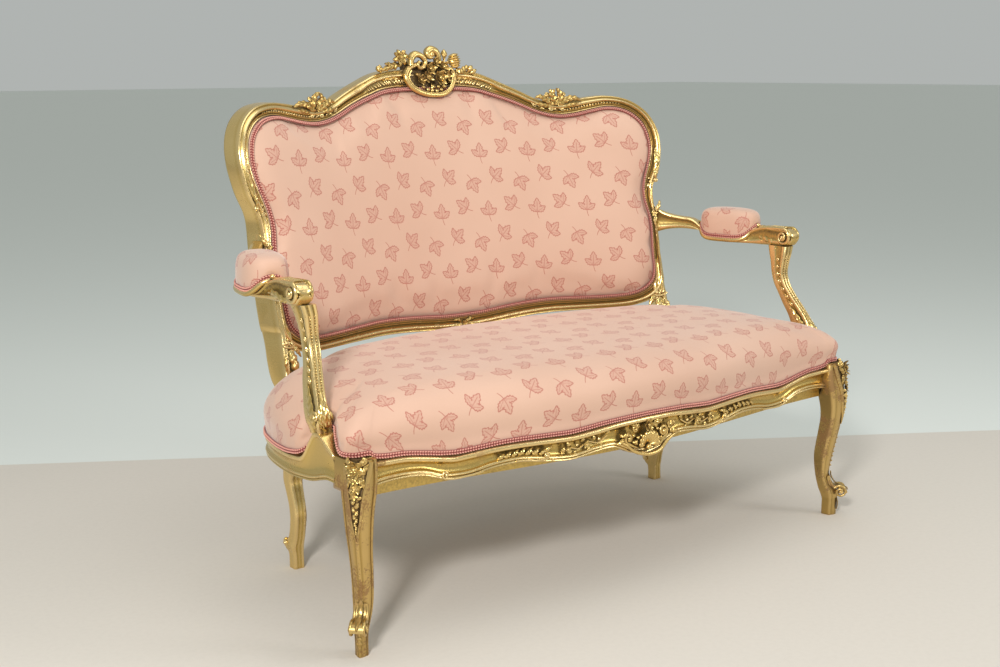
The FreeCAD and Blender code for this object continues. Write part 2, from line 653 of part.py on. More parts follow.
# Carvings that are glued on
def carving(outline, face, depth):
    """A carved ornament as a slab of its outline: face gives its back in Y for each place."""
    front = [Vector(x, face(x, z) - depth, z) for x, z in outline]
    back = [Vector(x, face(x, z), z) for x, z in outline]
    middle = centre_of(front) + Vector(0, -depth / 2, 0)
    inner_front = [middle + (p - middle) * 0.55 + Vector(0, -depth * 0.3, 0) for p in front]
    inner_back = [lerp_vector(p, centre_of(back), 0.4) for p in back]
    inner_back = [Vector(p.x, face(p.x, p.z), p.z) for p in inner_back]
    return ring_solid([inner_front, front, back, inner_back])


def lerp_vector(a, b, t):
    return a + (b - a) * t


def crest_face(x, z):
    """The back of a carving on the back's frame: it comes forward where it lies before the upholstery."""
    edge = BACK_BASE + BACK_OPENING
    over = min(max((edge + 4.0 - z) / 12.0, 0.0), 1.0) if abs(x) < 60 and z > 700 else 0.0
    return back_y(x, z) - MOULDING_RISE - GAP - 6.0 * over


CREST_CARTOUCHE = [(-14, 962), (12, 962), (38, 968), (58, 988), (84, 1004), (126, 1012), (122, 1034),
                   (96, 1042), (84, 1058), (50, 1068), (12, 1077), (-30, 1063), (-62, 1068), (-92, 1070),
                   (-108, 1046), (-146, 1036), (-140, 1014), (-96, 1004), (-64, 988), (-44, 970)]
SHOULDER_SPRAY = [(274, 946), (302, 935), (345, 930), (388, 934), (402, 948), (384, 964), (354, 968),
                  (330, 976), (304, 978), (284, 966)]
BACK_FLOWER = [(-46, 436), (-20, 428), (14, 427), (46, 434), (52, 446), (30, 458), (0, 462), (-30, 457),
               (-52, 447)]
APRON_CARTOUCHE = [(-92, 302), (-52, 296), (-40, 284), (-10, 272), (26, 271), (48, 280), (56, 298), (92, 308),
                   (60, 334), (24, 340), (-20, 340), (-62, 334)]
KNEE_OUTLINE = [(0, 366), (12, 363), (18, 348), (15, 326), (9, 300), (6, 272), (3, 246), (0, 236), (-3, 246),
                (-6, 272), (-9, 300), (-15, 326), (-18, 348), (-12, 363)]


def scaled_back(outline):
    """An outline drawn at the first size of the back, at the present one."""
    top = BACK_BASE + BACK_OPENING - (DRAWN_BASE + DRAWN_OPENING)
    shift = top if outline[0][1] > 700 else BACK_BASE - DRAWN_BASE
    return [(x * BACK_WIDTH / DRAWN_WIDTH, z + shift) for x, z in outline]


def make_apron_cartouche():
    outline = [(seat_x(x), rail_z(z)) for x, z in APRON_CARTOUCHE]
    return carving(outline, lambda x, z: front_y(x) - GAP, CARVING_DEPTH)


def leg_front(z):
    """How far the right front leg reaches outwards at a drawn height."""
    rows = FRONT_LEG + [(LEG_BLOCK_BASE, 0, 20, 0), (LEG_BLOCK_BASE + 10, 0, 17, 0), (LEG_BLOCK_TOP, 0, 17, 0)]
    k = max([i for i in range(len(rows) - 1) if rows[i][0] <= z] or [0])
    t = min((z - rows[k][0]) / (rows[k + 1][0] - rows[k][0]), 1.0)
    return lerp(rows[k][2], rows[k + 1][2], t)


def make_knee_carving():
    """The ornament on the corner of the right front leg: it follows the knee's swell."""
    front, back = [], []
    for t, z in KNEE_OUTLINE:
        out = leg_front(z) + GAP + 2.7
        wrap = 0.35 * abs(t)
        for ring, reach in ((front, CARVING_DEPTH), (back, 0.0)):
            x, y = leg_plan(out + reach - wrap * (1 if reach else 0), t)
            ring.append(Vector(x, y, rail_z(z)))
    middle = centre_of(front)
    crown = [lerp_vector(p, middle, 0.5) + Vector(1.5, -1.5, 0) for p in front]
    hollow = [lerp_vector(p, centre_of(back), 0.5) for p in back]
    return ring_solid([crown, front, back, hollow])


# Seat upholstery
def seat_edge_point(row):
    x, y, z, swell = row
    if y > 410 or (x < 500 and y > 300):
        if x > 480:
            return Vector(rear_x(x), rear_y(y), rail_z(z)), swell
        return Vector(x * rear_x(482.0) / 482.0, back_rail_y(x * rear_x(482.0) / 482.0) + y
                      - (drawn_back_rail_y(x)), rail_z(z)), swell
    if y < 20:
        return Vector(seat_x(x), y if x > 600 else y + front_y(seat_x(x)) - drawn_front_y(x), rail_z(z)), swell
    u, v = side_xy(x, y)
    return Vector(u, v, rail_z(z)), swell


def drawn_front_y(x):
    return -52.0 * (1 + math.cos(math.pi * min(x, 620.0) / 620.0)) / 2


def drawn_back_rail_y(x):
    return 457.0 - 1.6 + 0.25 * 290.0 + 4.0 - 134.0 * (x / 560.0) ** 2


def seat_top(p):
    """Height of the finished seat over a place in plan."""
    spine_x, spine_y = seat_x(SEAT_SPINE[0]), rear_y(SEAT_SPINE[1])
    out = max(0.0, abs(p.x) - spine_x) / (seat_x(650.0) - spine_x)
    drawn_y = p.y - (SEAT_DEPTH - DRAWN_SEAT_DEPTH) + 134.0 * (p.x / 560.0) ** 2 * 0.85
    return rail_z(SEAT_CROWN) - SEAT_END_FALL * out ** 2 + table_value(SEAT_BACK_FALL, drawn_y, 1)


def seat_ring(inset, rise, drop, shrink):
    """One ring of the seat: inset towards the middle line, risen from the edge towards the top."""
    half = []
    spine_x, spine_y = seat_x(SEAT_SPINE[0]), rear_y(SEAT_SPINE[1])
    for row in SEAT_EDGE:
        p, swell = seat_edge_point(row)
        target = Vector(min(p.x, spine_x), spine_y, 0)
        step = inset if inset >= 0 or swell else 0.004
        q = Vector(lerp(p.x, target.x, step), lerp(p.y, target.y, step), 0)
        inward = Vector(target.x - p.x, target.y - p.y, 0)
        q += inward * (shrink / max(inward.Length, 1.0))
        q.z = lerp(p.z, seat_top(q), rise) - drop
        half.append(q)
    half[0].x = half[-1].x = 0.0
    return whole_ring(half)


def underside_ring(inset, edge, shrink):
    """A ring under the seat: at the rails where edge is 1, at the hessian where it is 0."""
    half = []
    spine_x, spine_y = seat_x(SEAT_SPINE[0]), rear_y(SEAT_SPINE[1])
    for row in SEAT_EDGE:
        p, _ = seat_edge_point(row)
        target = Vector(min(p.x, spine_x), spine_y, 0)
        inward = Vector(target.x - p.x, target.y - p.y, 0)
        q = Vector(lerp(p.x, target.x, inset), lerp(p.y, target.y, inset), 0)
        q += inward * (shrink / max(inward.Length, 1.0))
        q.z = lerp(rail_z(HESSIAN_HEIGHT) + HESSIAN + GAP, p.z + 1.0, edge)
        half.append(q)
    half[0].x = half[-1].x = 0.0
    return whole_ring(half)


def seat_spine(drop, height=None):
    """The nodes along the seat's middle line: on its top, or level at a height."""
    nodes = []
    for j in range(-SPINE_NODES, SPINE_NODES + 1):
        p = Vector(seat_x(SEAT_SPINE[0]) * j / SPINE_NODES, rear_y(SEAT_SPINE[1]), 0)
        p.z = seat_top(p) - drop if height is None else height
        nodes.append(p)
    return nodes


def make_seat_cover():
    outer = [seat_ring(i, r, 0.0, 0.0) for i, r in reversed(SEAT_RINGS)] + [seat_ring(0.0, 0.0, 0.0, 0.0)]
    inner = [seat_ring(0.0, 0.0, 0.0, CLOTH)]
    inner += [seat_ring(i, r, CLOTH, CLOTH) for i, r in SEAT_RINGS]
    return ring_solid(outer + inner, spines=(seat_spine(0.0), seat_spine(CLOTH)))


def make_seat_stuffing():
    skin = CLOTH + 8 * GAP
    rings = [seat_ring(i, r, skin, skin) for i, r in reversed(SEAT_RINGS)] + [seat_ring(0.0, 0.0, -1.2, skin)]
    rings += [underside_ring(i, e, skin) for i, e in SEAT_UNDERSIDE]
    return ring_solid(rings, spines=(seat_spine(skin), seat_spine(0, rail_z(HESSIAN_HEIGHT) + HESSIAN + GAP)))


def make_seat_gimp():
    """The braid that covers the tacks along the seat's edge: it lies on the lowest band of the cover."""
    inset, rise = SEAT_RINGS[0]
    spine_x, spine_y = seat_x(SEAT_SPINE[0]), rear_y(SEAT_SPINE[1])
    rings = []
    for up, out in ((0.4, 3 * GAP), (1.6, GAP + GIMP_THICKNESS), (GIMP_WIDTH - 1.6, GAP + GIMP_THICKNESS),
                    (GIMP_WIDTH, 3 * GAP)):
        half = []
        for row in SEAT_EDGE:
            p, swell = seat_edge_point(row)
            target = Vector(min(p.x, spine_x), spine_y, 0)
            share = up / (seat_top(p) - p.z) / rise
            q = Vector(p.x, p.y, 0)
            inward = Vector(target.x - p.x, target.y - p.y, 0)
            q += inward * (share * (inset if swell else 0.004) - out / inward.Length)
            q.z = p.z + up
            half.append(q)
        half[0].x = half[-1].x = 0.0
        rings.append(whole_ring(half))
    return ring_solid(rings, closed=True)


def seat_inside_plan(inset):
    """The plan of the seat frame's opening, for what is stretched across it."""
    half = []
    spine_x, spine_y = seat_x(SEAT_SPINE[0]), rear_y(SEAT_SPINE[1])
    for row in SEAT_EDGE:
        p, _ = seat_edge_point(row)
        target = Vector(min(p.x, spine_x), spine_y, 0)
        half.append(Vector(lerp(p.x, target.x, inset), lerp(p.y, target.y, inset), 0))
    return [(p.x, p.y) for p in whole_ring(half)]


def make_seat_hessian():
    z = rail_z(HESSIAN_HEIGHT)
    return prism(seat_inside_plan(0.16), z, z + HESSIAN)


def spring_columns():
    return [seat_x(SPRING_SPREAD) * (2 * i / (SPRINGS_ACROSS - 1) - 1) for i in range(SPRINGS_ACROSS)]


def spring_rows():
    return [y * SEAT_DEPTH / DRAWN_SEAT_DEPTH for y in SPRING_LINES]


def make_seat_webbing():
    """Jute webs that cross under the springs, each tacked to the inner faces of two rails."""
    z = rail_z(WEB_HEIGHT)
    half = WEB_WIDTH / 2
    short, long = [], []
    for x in spring_columns():
        near = max(front_y(x - half), front_y(x + half)) + RAIL_THICKNESS + GAP
        far = min(back_rail_y(x - half), back_rail_y(x + half)) - GAP
        short.append(box(x - half, x + half, near, far, z, z + WEB_THICKNESS))
    first, last = spring_rows()
    for y in (first, (first + last) / 2, last):
        reach = min(side_inner_x(y - half), side_inner_x(y + half)) - GAP
        long.append(box(-reach, reach, y - half, y + half, z + WEB_THICKNESS, z + 2 * WEB_THICKNESS))
    return short, long


def side_inner_x(y):
    """The inner face of the side rail at a depth."""
    places = [side_xy(ix, iy) for _, _, ix, iy, _, _ in SIDE_RAIL]
    for (xa, ya), (xb, yb) in zip(places, places[1:]):
        if ya <= y <= yb:
            return lerp(xa, xb, (y - ya) / (yb - ya))
    return places[-1][0]


def spring_height():
    return rail_z(HESSIAN_HEIGHT) - 2 * TWINE - 2 * GAP - rail_z(WEB_HEIGHT) - 2 * WEB_THICKNESS - GAP


def make_spring():
    """An hourglass spring as one wire: arcs of a quarter turn whose radius narrows to the waist."""
    steps = 8
    total = SPRING_TURNS * steps
    base = rail_z(WEB_HEIGHT) + 2 * WEB_THICKNESS + GAP + SPRING_WIRE / 2
    height = spring_height() - SPRING_WIRE

    def place(k):
        t = k / total
        radius = lerp(SPRING_WAIST, SPRING_RADIUS, abs(2 * t - 1) ** 1.5)
        angle = 2 * math.pi * k / steps
        return Vector(radius * math.cos(angle), radius * math.sin(angle), base + height * t)

    edges = [Part.Arc(place(k), place(k + 1), place(k + 2)).toShape() for k in range(0, total, 2)]
    path = Part.Wire(edges)
    tangent = path.Edges[0].tangentAt(path.Edges[0].FirstParameter)
    ring = Part.Wire([Part.makeCircle(SPRING_WIRE / 2, place(0), tangent)])
    return path.makePipeShell([ring], True, True)


def make_seat_springs():
    one = make_spring()
    return [one.translated(Vector(x, y, 0)) for x in spring_columns() for y in spring_rows()]


def twine(places):
    """A tied cord through places: square in section, with the places at its lower edge's middle."""
    half = TWINE / 2
    along = Vector(places[-1].x - places[0].x, places[-1].y - places[0].y, 0)
    along.normalize()
    side = Vector(-along.y, along.x, 0) * half
    up = Vector(0, 0, TWINE)
    return loft([[p - side, p + side, p + side + up, p - side + up] for p in places])


def make_spring_lashing():
    """Cords that tie the tops of the springs down to the rails, from front to back and from side to side."""
    low = rail_z(WEB_HEIGHT) + 2 * WEB_THICKNESS + GAP + spring_height() + GAP
    cords = []
    first, last = spring_rows()
    for x in spring_columns():
        rail_low = rail_z(326.0)
        front = Vector(x, front_y(x) + RAIL_THICKNESS + 2 * GAP, rail_low)
        back = Vector(x, back_rail_y(x) - 2 * GAP, rail_z(320.0))
        cords.append(twine([front, Vector(x, first - SPRING_RADIUS, low), Vector(x, last + SPRING_RADIUS, low),
                            back]))
    reach = seat_x(SPRING_SPREAD) + SPRING_RADIUS
    for y in spring_rows():
        end = side_inner_x(y) - 2 * GAP
        z = low + TWINE
        cords.append(twine([Vector(-end, y, rail_z(318.0)), Vector(-reach, y, z), Vector(reach, y, z),
                            Vector(end, y, rail_z(318.0))]))
    return cords


# Back upholstery
def opening_half(margin):
    """The opening's outline, drawn in by a margin."""
    points = []
    for k in range(len(OPENING)):
        x, z, width = opening_point(k)
        ox, oz = outer_point(k)
        points.append((x - (ox - x) / width * margin, z - (oz - z) / width * margin))
    points[0] = (0.0, points[0][1])
    points[-1] = (0.0, points[-1][1])
    return points


def back_ring(inset, depth, margin):
    """A ring of the back: inset towards its middle line, at a depth behind the reference face."""
    spine = BACK_SPINE[0] * BACK_WIDTH / DRAWN_WIDTH
    height = BACK_BASE + (BACK_SPINE[1] - DRAWN_BASE) / DRAWN_OPENING * BACK_OPENING
    half = []
    for x, z in opening_half(margin):
        u, w = lerp(x, min(x, spine), inset), lerp(z, height, inset)
        half.append(back_place(u, w, depth))
    return whole_ring(half)


def back_spine(depth):
    height = BACK_BASE + (BACK_SPINE[1] - DRAWN_BASE) / DRAWN_OPENING * BACK_OPENING
    reach = BACK_SPINE[0] * BACK_WIDTH / DRAWN_WIDTH
    places = [reach * j / SPINE_NODES for j in range(-SPINE_NODES, SPINE_NODES + 1)]
    return [back_place(x, height, depth) for x in places]


def make_back_cover():
    margin = GAP
    outer = [back_ring(i, d - BACK_CROWN * c, margin) for i, d, c in reversed(BACK_PAD_RINGS)]
    outer.append(back_ring(0.0, 14.0, margin))
    inner = [back_ring(0.0, 14.0, margin + CLOTH)]
    inner += [back_ring(i, d - BACK_CROWN * c + CLOTH, margin + CLOTH) for i, d, c in BACK_PAD_RINGS]
    return ring_solid(outer + inner, spines=(back_spine(-BACK_CROWN), back_spine(CLOTH - BACK_CROWN)))


def make_back_stuffing():
    skin = CLOTH + GAP
    rings = [back_ring(i, d - BACK_CROWN * c + skin, GAP + skin) for i, d, c in reversed(BACK_PAD_RINGS)]
    back = hessian_depth() - 3 * GAP
    rings += [back_ring(i, back, GAP + skin) for i in FLAT_RINGS]
    return ring_solid(rings, spines=(back_spine(skin - BACK_CROWN), back_spine(back)))


def hessian_depth():
    return BACK_PAD_DEPTH - 2 * WEB_THICKNESS - 3 * GAP - HESSIAN


def flat_back_sheet(front, thickness, margin):
    rings = [back_ring(i, front, margin) for i in reversed(FLAT_RINGS)]
    rings += [back_ring(i, front + thickness, margin) for i in FLAT_RINGS]
    return ring_solid(rings, spines=(back_spine(front), back_spine(front + thickness)))


def opening_crossings(level, at):
    """Where the right half of the opening crosses a place across (level 0) or a height (level 1)."""
    found = []
    points = [opening_point(k)[:2] for k in range(len(OPENING))]
    for a, b in zip(points, points[1:]):
        if (a[level] - at) * (b[level] - at) <= 0 and a[level] != b[level]:
            found.append(lerp(a[1 - level], b[1 - level], (at - a[level]) / (b[level] - a[level])))
    return found


def make_back_webs():
    """Webs across the opening: upright ones, and level ones behind them that follow the back's bow."""
    webs = []
    for i in range(7):
        x = (i - 3) * 143.0 * BACK_WIDTH / DRAWN_WIDTH
        ends = [opening_crossings(0, abs(abs(x) + side * WEB_WIDTH / 2)) for side in (-1, 1)]
        low, top = max(min(e) for e in ends) + GAP, min(max(e) for e in ends) - GAP
        webs.append(back_strap([(x, low), (x, top)], 1))
    for j in range(3):
        z = BACK_BASE + 80.0 + j * 150.0 * BACK_OPENING / DRAWN_OPENING
        reach = min(min(opening_crossings(1, z + side * WEB_WIDTH / 2)) for side in (-1, 1)) - GAP
        count = 28
        line = [(reach * (2 * i / count - 1), z) for i in range(count + 1)]
        webs.append(back_strap(line, 2))
    return webs


def back_strap(line, layer):
    """One web that lies on the back's curve along a line of places."""
    depth = BACK_PAD_DEPTH - (3 - layer) * WEB_THICKNESS - (3 - layer) * GAP
    upright = layer == 1
    sections = []
    half = WEB_WIDTH / 2
    for x, z in line:
        ends = [(x - half, z), (x + half, z)] if upright else [(x, z - half), (x, z + half)]
        ring = [back_place(u, w, depth) for u, w in ends]
        ring += [back_place(u, w, depth + WEB_THICKNESS) for u, w in reversed(ends)]
        sections.append(ring)
    return loft(sections)


FRONT_BRAID = [(0.0, -0.5), (0.008, -GIMP_THICKNESS), (0.030, -GIMP_THICKNESS - 4.8), (0.038, -7.2), (0.012, 0.0)]
OUTSIDE_BRAID = [(0.001, GAP), (0.010, GIMP_THICKNESS), (0.028, GIMP_THICKNESS), (0.037, GAP)]


def make_back_gimp(rows, behind):
    """Braid round the opening, on the front of the back or on its outside."""
    return ring_solid([back_ring(inset, behind + depth, GAP) for inset, depth in rows], closed=True)


# Arm pads
def pad_ring(scale, rise, extra, across=PAD_WIDTH, level=None):
    """A ring of the right arm pad: a stretched oval that rises from the cover's edge to the top.

    The edge hangs lower beside the arm than across it. A level ring lies at one height instead."""
    turn = math.radians(PAD_TURN)
    along, aside = Vector(math.cos(turn), math.sin(turn), 0), Vector(-math.sin(turn), math.cos(turn), 0)
    centre = Vector(*side_xy(*PAD_CENTRE), 0)
    count, power = 28, 0.72
    ring = []
    for i in range(count):
        angle = 2 * math.pi * i / count
        c, s = math.cos(angle), math.sin(angle)
        a = math.copysign(abs(c) ** power, c) * (PAD_LENGTH / 2 * scale - extra)
        b = math.copysign(abs(s) ** power, s) * (across / 2 * scale - extra)
        edge = lerp(arm_z(PAD_SIDES), arm_z(PAD_ENDS), c ** 4)
        p = centre + along * a + aside * b
        p.z = lerp(edge, arm_z(PAD_TOP), rise) if level is None else level
        ring.append(p)
    return ring


PAD_RINGS = [(0.95, 0.0), (0.99, 0.12), (1.0, 0.35), (0.98, 0.60), (0.90, 0.82), (0.70, 0.95), (0.4, 1.0)]


def pad_over(rings, drop, extra):
    return [[p - Vector(0, 0, drop * r) for p in pad_ring(s, r, extra)] for s, r in rings]


def make_pad_cover():
    outer = pad_over(list(reversed(PAD_RINGS)), 0.0, 0.0)
    inner = pad_over(PAD_RINGS, CLOTH, CLOTH)
    return ring_solid(outer + inner)


def make_pad_stuffing():
    """The pad's filling, hollow underneath where it sits over the ridge of the arm's wood."""
    skin = CLOTH + 2 * GAP
    wood = arm_z(PAD_SEAT) + 2 * GAP
    rings = pad_over(list(reversed(PAD_RINGS)), skin, skin)
    for scale in (0.88, 0.5):
        rings.append(pad_ring(scale, 0.0, 0.0, 2 * (PAD_RIDGE + 2.5) / 0.88, wood))
    return ring_solid(rings)


def make_pad_gimp():
    rings = []
    for scale, out, up in ((0.96, GAP, 0.0), (0.96, GAP + GIMP_THICKNESS, 1.5),
                           (0.995, GAP + GIMP_THICKNESS, GIMP_WIDTH - 2.0), (0.997, 4 * GAP, GIMP_WIDTH)):
        rings.append([p + Vector(0, 0, up) for p in pad_ring(scale, 0.0, -out)])
    return ring_solid(rings, closed=True)


def build():
    """Every piece of the settee by name, each as a list of solids."""
    pieces = {}
    pairs = {
        "front_leg": make_front_leg(), "rear_upright": make_rear_upright(), "side_seat_rail": make_side_rail(),
        "arm": make_arm(), "arm_support": make_arm_support(), "knee_carving": make_knee_carving(),
        "arm_pad_stuffing": make_pad_stuffing(), "arm_pad_cover": make_pad_cover(),
        "arm_pad_gimp": make_pad_gimp(),
        "shoulder_spray": carving(scaled_back(SHOULDER_SPRAY), crest_face, CARVING_DEPTH * 0.7),
    }
    for name, shape in pairs.items():
        pieces[name + "_right"] = [shape]
        pieces[name + "_left"] = [mirrored(shape)]
    pieces["crest_rail"] = [make_crest_rail()]
    pieces["back_bottom_rail"] = [make_back_bottom_rail()]
    pieces["front_seat_rail"] = [make_front_rail()]
    pieces["back_seat_rail"] = [make_back_seat_rail()]
    blocks = make_corner_blocks()
    screws = []
    for start, direction in corner_screw_lines():
        for side in (1, -1):
            here = Vector(start.x * side, start.y, start.z)
            way = Vector(direction.x * side, direction.y, direction.z)
            screws.append(screw(here, way, 0))
            hole = screw(here, way, HOLE_CLEARANCE)
            blocks = [b.cut(hole) for b in blocks]
            for name in ("front_seat_rail", "side_seat_rail_right", "side_seat_rail_left",
                         "rear_upright_right", "rear_upright_left"):
                pieces[name] = [s.cut(hole) for s in pieces[name]]
    pieces["corner_blocks"] = blocks
    pieces["corner_block_screws"] = screws
    pieces["crest_dowels"] = [crest_dowel(0), mirrored(crest_dowel(0))]
    dowels = [arm_dowel(0), support_dowel(0), support_top_dowel(0)]
    pieces["arm_dowels"] = dowels + [mirrored(d) for d in dowels]
    pieces["crest_cartouche"] = [carving(scaled_back(CREST_CARTOUCHE), crest_face, CARVING_DEPTH * 2)]
    pieces["back_rail_flower"] = [carving(scaled_back(BACK_FLOWER), crest_face, CARVING_DEPTH * 0.6)]
    pieces["apron_cartouche"] = [make_apron_cartouche()]
    pieces["seat_cover"] = [make_seat_cover()]
    pieces["seat_stuffing"] = [make_seat_stuffing()]
    pieces["seat_gimp"] = [make_seat_gimp()]
    pieces["seat_hessian"] = [make_seat_hessian()]
    short, long = make_seat_webbing()
    pieces["seat_webbing_short"] = short
    pieces["seat_webbing_long"] = long
    pieces["seat_springs"] = make_seat_springs()
    pieces["spring_lashing"] = make_spring_lashing()
    pieces["back_cover"] = [make_back_cover()]
    pieces["back_stuffing"] = [make_back_stuffing()]
    pieces["back_hessian"] = [flat_back_sheet(hessian_depth(), HESSIAN, 2.5)]
    pieces["back_webbing"] = make_back_webs()
    pieces["back_gimp"] = [make_back_gimp(FRONT_BRAID, 0.0)]
    pieces["outside_back_cover"] = [flat_back_sheet(BACK_PAD_DEPTH + 3 * GAP, CLOTH, GAP)]
    pieces["outside_back_gimp"] = [make_back_gimp(OUTSIDE_BRAID, BACK_PAD_DEPTH + 3 * GAP + CLOTH)]
    return pieces


def main():
    os.makedirs("parts", exist_ok=True)
    pieces = build()
    boxes = [shape.BoundBox for shapes in pieces.values() for shape in shapes]
    middle = (min(b.YMin for b in boxes) + max(b.YMax for b in boxes)) / 2
    for name, shapes in sorted(pieces.items()):
        moved = [shape.translated(Vector(0, -middle, 0)) for shape in shapes]
        result = moved[0] if len(moved) == 1 else Part.makeCompound(moved)
        result.exportStep(os.path.join("parts", name + ".step"))
        print(name, len(result.Solids), round(result.Volume / 1000, 1), result.isValid())
    print("front feet at Y", round(-middle, 2))


if __name__ == "__main__":
    main()
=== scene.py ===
"""Looks of a carved and gilded settee of cabriole form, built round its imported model.

Sizes in the tables are millimetres in the maker's frame: +X to the right of someone looking at the front, the
settee faces -Y, Y is counted from the line through the two front feet, and Z is up from the floor. A piece is
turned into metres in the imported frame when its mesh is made.
"""

import json
import logging
import math
from dataclasses import dataclass, field
from enum import Enum
from typing import Callable, Optional, Sequence

import bmesh
import bpy
from mathutils import Matrix, Vector

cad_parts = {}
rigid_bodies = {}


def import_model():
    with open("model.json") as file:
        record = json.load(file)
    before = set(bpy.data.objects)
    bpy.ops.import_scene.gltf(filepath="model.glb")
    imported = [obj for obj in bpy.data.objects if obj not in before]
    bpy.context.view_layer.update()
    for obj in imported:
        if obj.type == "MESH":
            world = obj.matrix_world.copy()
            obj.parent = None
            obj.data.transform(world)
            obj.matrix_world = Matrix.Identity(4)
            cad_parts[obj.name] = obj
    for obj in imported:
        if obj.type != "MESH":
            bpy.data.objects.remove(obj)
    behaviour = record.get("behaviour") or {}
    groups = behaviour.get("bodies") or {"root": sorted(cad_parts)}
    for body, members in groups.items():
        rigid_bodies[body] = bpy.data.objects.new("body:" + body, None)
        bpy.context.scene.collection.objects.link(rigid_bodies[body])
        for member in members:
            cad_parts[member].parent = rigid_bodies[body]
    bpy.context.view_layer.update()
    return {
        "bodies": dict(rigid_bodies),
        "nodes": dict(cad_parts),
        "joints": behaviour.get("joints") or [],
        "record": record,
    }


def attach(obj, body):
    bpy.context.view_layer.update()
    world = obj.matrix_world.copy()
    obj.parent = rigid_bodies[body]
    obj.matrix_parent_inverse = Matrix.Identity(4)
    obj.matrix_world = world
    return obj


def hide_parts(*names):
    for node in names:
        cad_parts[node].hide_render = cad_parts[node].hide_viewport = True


LOG = logging.getLogger("settee")
BODY = "root"
MM = 0.001
TONE = "tone"
CLOTH_MAP = "cloth"

Row = Sequence[float]
Spot = tuple[float, float, float]
Surface = Callable[[float, float, float], Vector]


# Tables of the frame, as the maker drew them
OPENING: list[Row] = [
    (0, 986, 37), (60, 986, 38), (104, 984, 38), (138, 979, 36), (172, 969, 33), (206, 958, 30),
    (240, 945, 28), (272, 931, 27), (306, 920, 28), (345, 915, 31), (385, 919, 31), (425, 927, 29),
    (462, 933, 26), (497, 929, 25), (519, 919, 25), (536, 904, 25), (547, 886, 24.5), (553, 863, 24.5),
    (554, 838, 24), (549, 812, 25), (541, 788, 27), (534, 770, 25), (527, 748, 21.5), (523, 727, 20),
    (522.5, 705, 19), (526, 683, 15.5), (529, 658, 12.5), (528.5, 632, 13), (526, 605, 14.8),
    (523.5, 580, 15.5), (522, 556, 17), (520.5, 532, 18.5), (515, 512, 24), (504, 498, 28), (484, 484, 26),
    (458, 476, 25), (425, 472.5, 25), (375, 472, 25), (300, 474, 27), (245, 475.5, 28), (180, 473, 28),
    (120, 468.5, 28), (60, 463, 27), (0, 461, 27),
]
CREST_JOINT, CORNER_JOINT = 20, 33
APRON: list[Row] = [
    (0, 272, 348), (40, 279, 347.5), (60, 288, 347), (85, 297, 345.5), (130, 295, 341), (185, 288, 337),
    (240, 293, 338.5), (300, 301, 340), (355, 299, 339), (404, 291, 335.5), (440, 291, 334), (462, 294, 337),
    (500, 306, 344), (540, 310, 350), (580, 309, 351), (607, 306, 352),
]
SIDE_RAIL: list[Row] = [
    (660, 45, 631, 45, 310, 362), (664, 66, 633, 66, 312, 379), (665, 84, 634, 84, 308, 392),
    (665.5, 104, 635, 104, 302, 392), (666, 122, 635, 122, 298, 372), (667, 148, 636, 148, 295.5, 340),
    (668, 180, 637, 178, 293.5, 334), (665, 220, 634, 214, 292.5, 331.5), (655, 280, 625, 268, 292, 330),
    (641, 330, 612, 312, 291.5, 329), (620, 375, 592, 348, 291, 328), (594, 410, 569, 376, 290, 327),
    (566, 437, 548, 398, 289, 326), (543, 457, 543, 421, 288, 325),
]
FRONT_LEG: list[Row] = [
    (0, -16, 17, 12), (20, -16, 17, 12), (37, -16, 18, 12.5), (50, -20, 20, 14), (62, -25, 14, 15.5),
    (76, -29, 4, 17.5), (88, -32, -1, 18.5), (105, -35, -2, 19.5), (143, -38, 4, 20.5), (177, -34, 11, 21.5),
    (205, -30, 17, 23), (230, -27, 21, 25), (255, -28, 24, 27), (280, -33, 25, 29.5), (300, -38, 24, 32),
    (325, -44, 20, 33), (350, -46, 17, 32), (361, -44, 15, 30),
]
LEG_BLOCK = [(650, -13), (657, -5), (660, 20), (660, 45), (618, 45), (607, 34), (607, -3), (632, -8)]
UPRIGHT_FOOT: list[Row] = [
    (560, 521, 539, -3, 50, 1), (540, 519, 539, -4, 50, 1), (514, 516.5, 538, -5, 50, 1), (500, 508, 537, -6, 48, 1),
    (475, 508, 538, -6, 45, 1), (440, 507, 539, -6, 46, 0.9), (405, 502, 542, -5, 47, 0.5),
    (370, 496, 543, -5, 41, 0),
]
REAR_LEG: list[Row] = [
    (335, 493, 543, 421, 464), (250, 493, 543, 421, 462), (222, 498, 537, 433, 468), (190, 501, 532, 446, 477),
    (165, 502, 530, 441, 471), (140, 502.5, 529.5, 434, 462), (117, 502.5, 529.5, 431, 458),
    (95, 503, 529, 434, 460), (76, 503, 529, 438, 464), (64, 503, 529, 441, 470), (56, 503, 530, 443, 482),
    (48, 503, 531, 445, 485), (40, 503, 530, 446, 480), (32, 504, 528, 446, 471), (0, 504, 528, 445, 469),
]
ARM: list[Row] = [
    (560, 503, 621, 686, 14.5, -38, 681, 10), (575, 482, 631, 670, 14, -55, 665, 9),
    (592, 455, 634, 664, 14, -61, 659, 9), (606, 428, 633, 660, 15, -64, 655, 10),
    (617, 405, 629, 644, 20, -67, 639, 15), (626, 382, 615, 643, 32, -70, 619, 21),
    (633, 354, 612, 643, 39, -75, 619, 21), (639, 318, 611, 643, 39, -79, 619, 21),
    (643, 286, 611, 643, 33, -82, 619, 21), (646, 258, 611, 645, 22, -84, 640, 17),
    (649, 229, 611, 656, 17, -86, 651, 12), (650.5, 199, 612, 656, 17, -88, 651, 12),
    (651.5, 170, 612, 655, 17, -89, 650, 12), (652, 152, 615, 651, 16, -90, 646, 11),
    (652, 143, 625, 643, 14, -90, 639, 10),
]
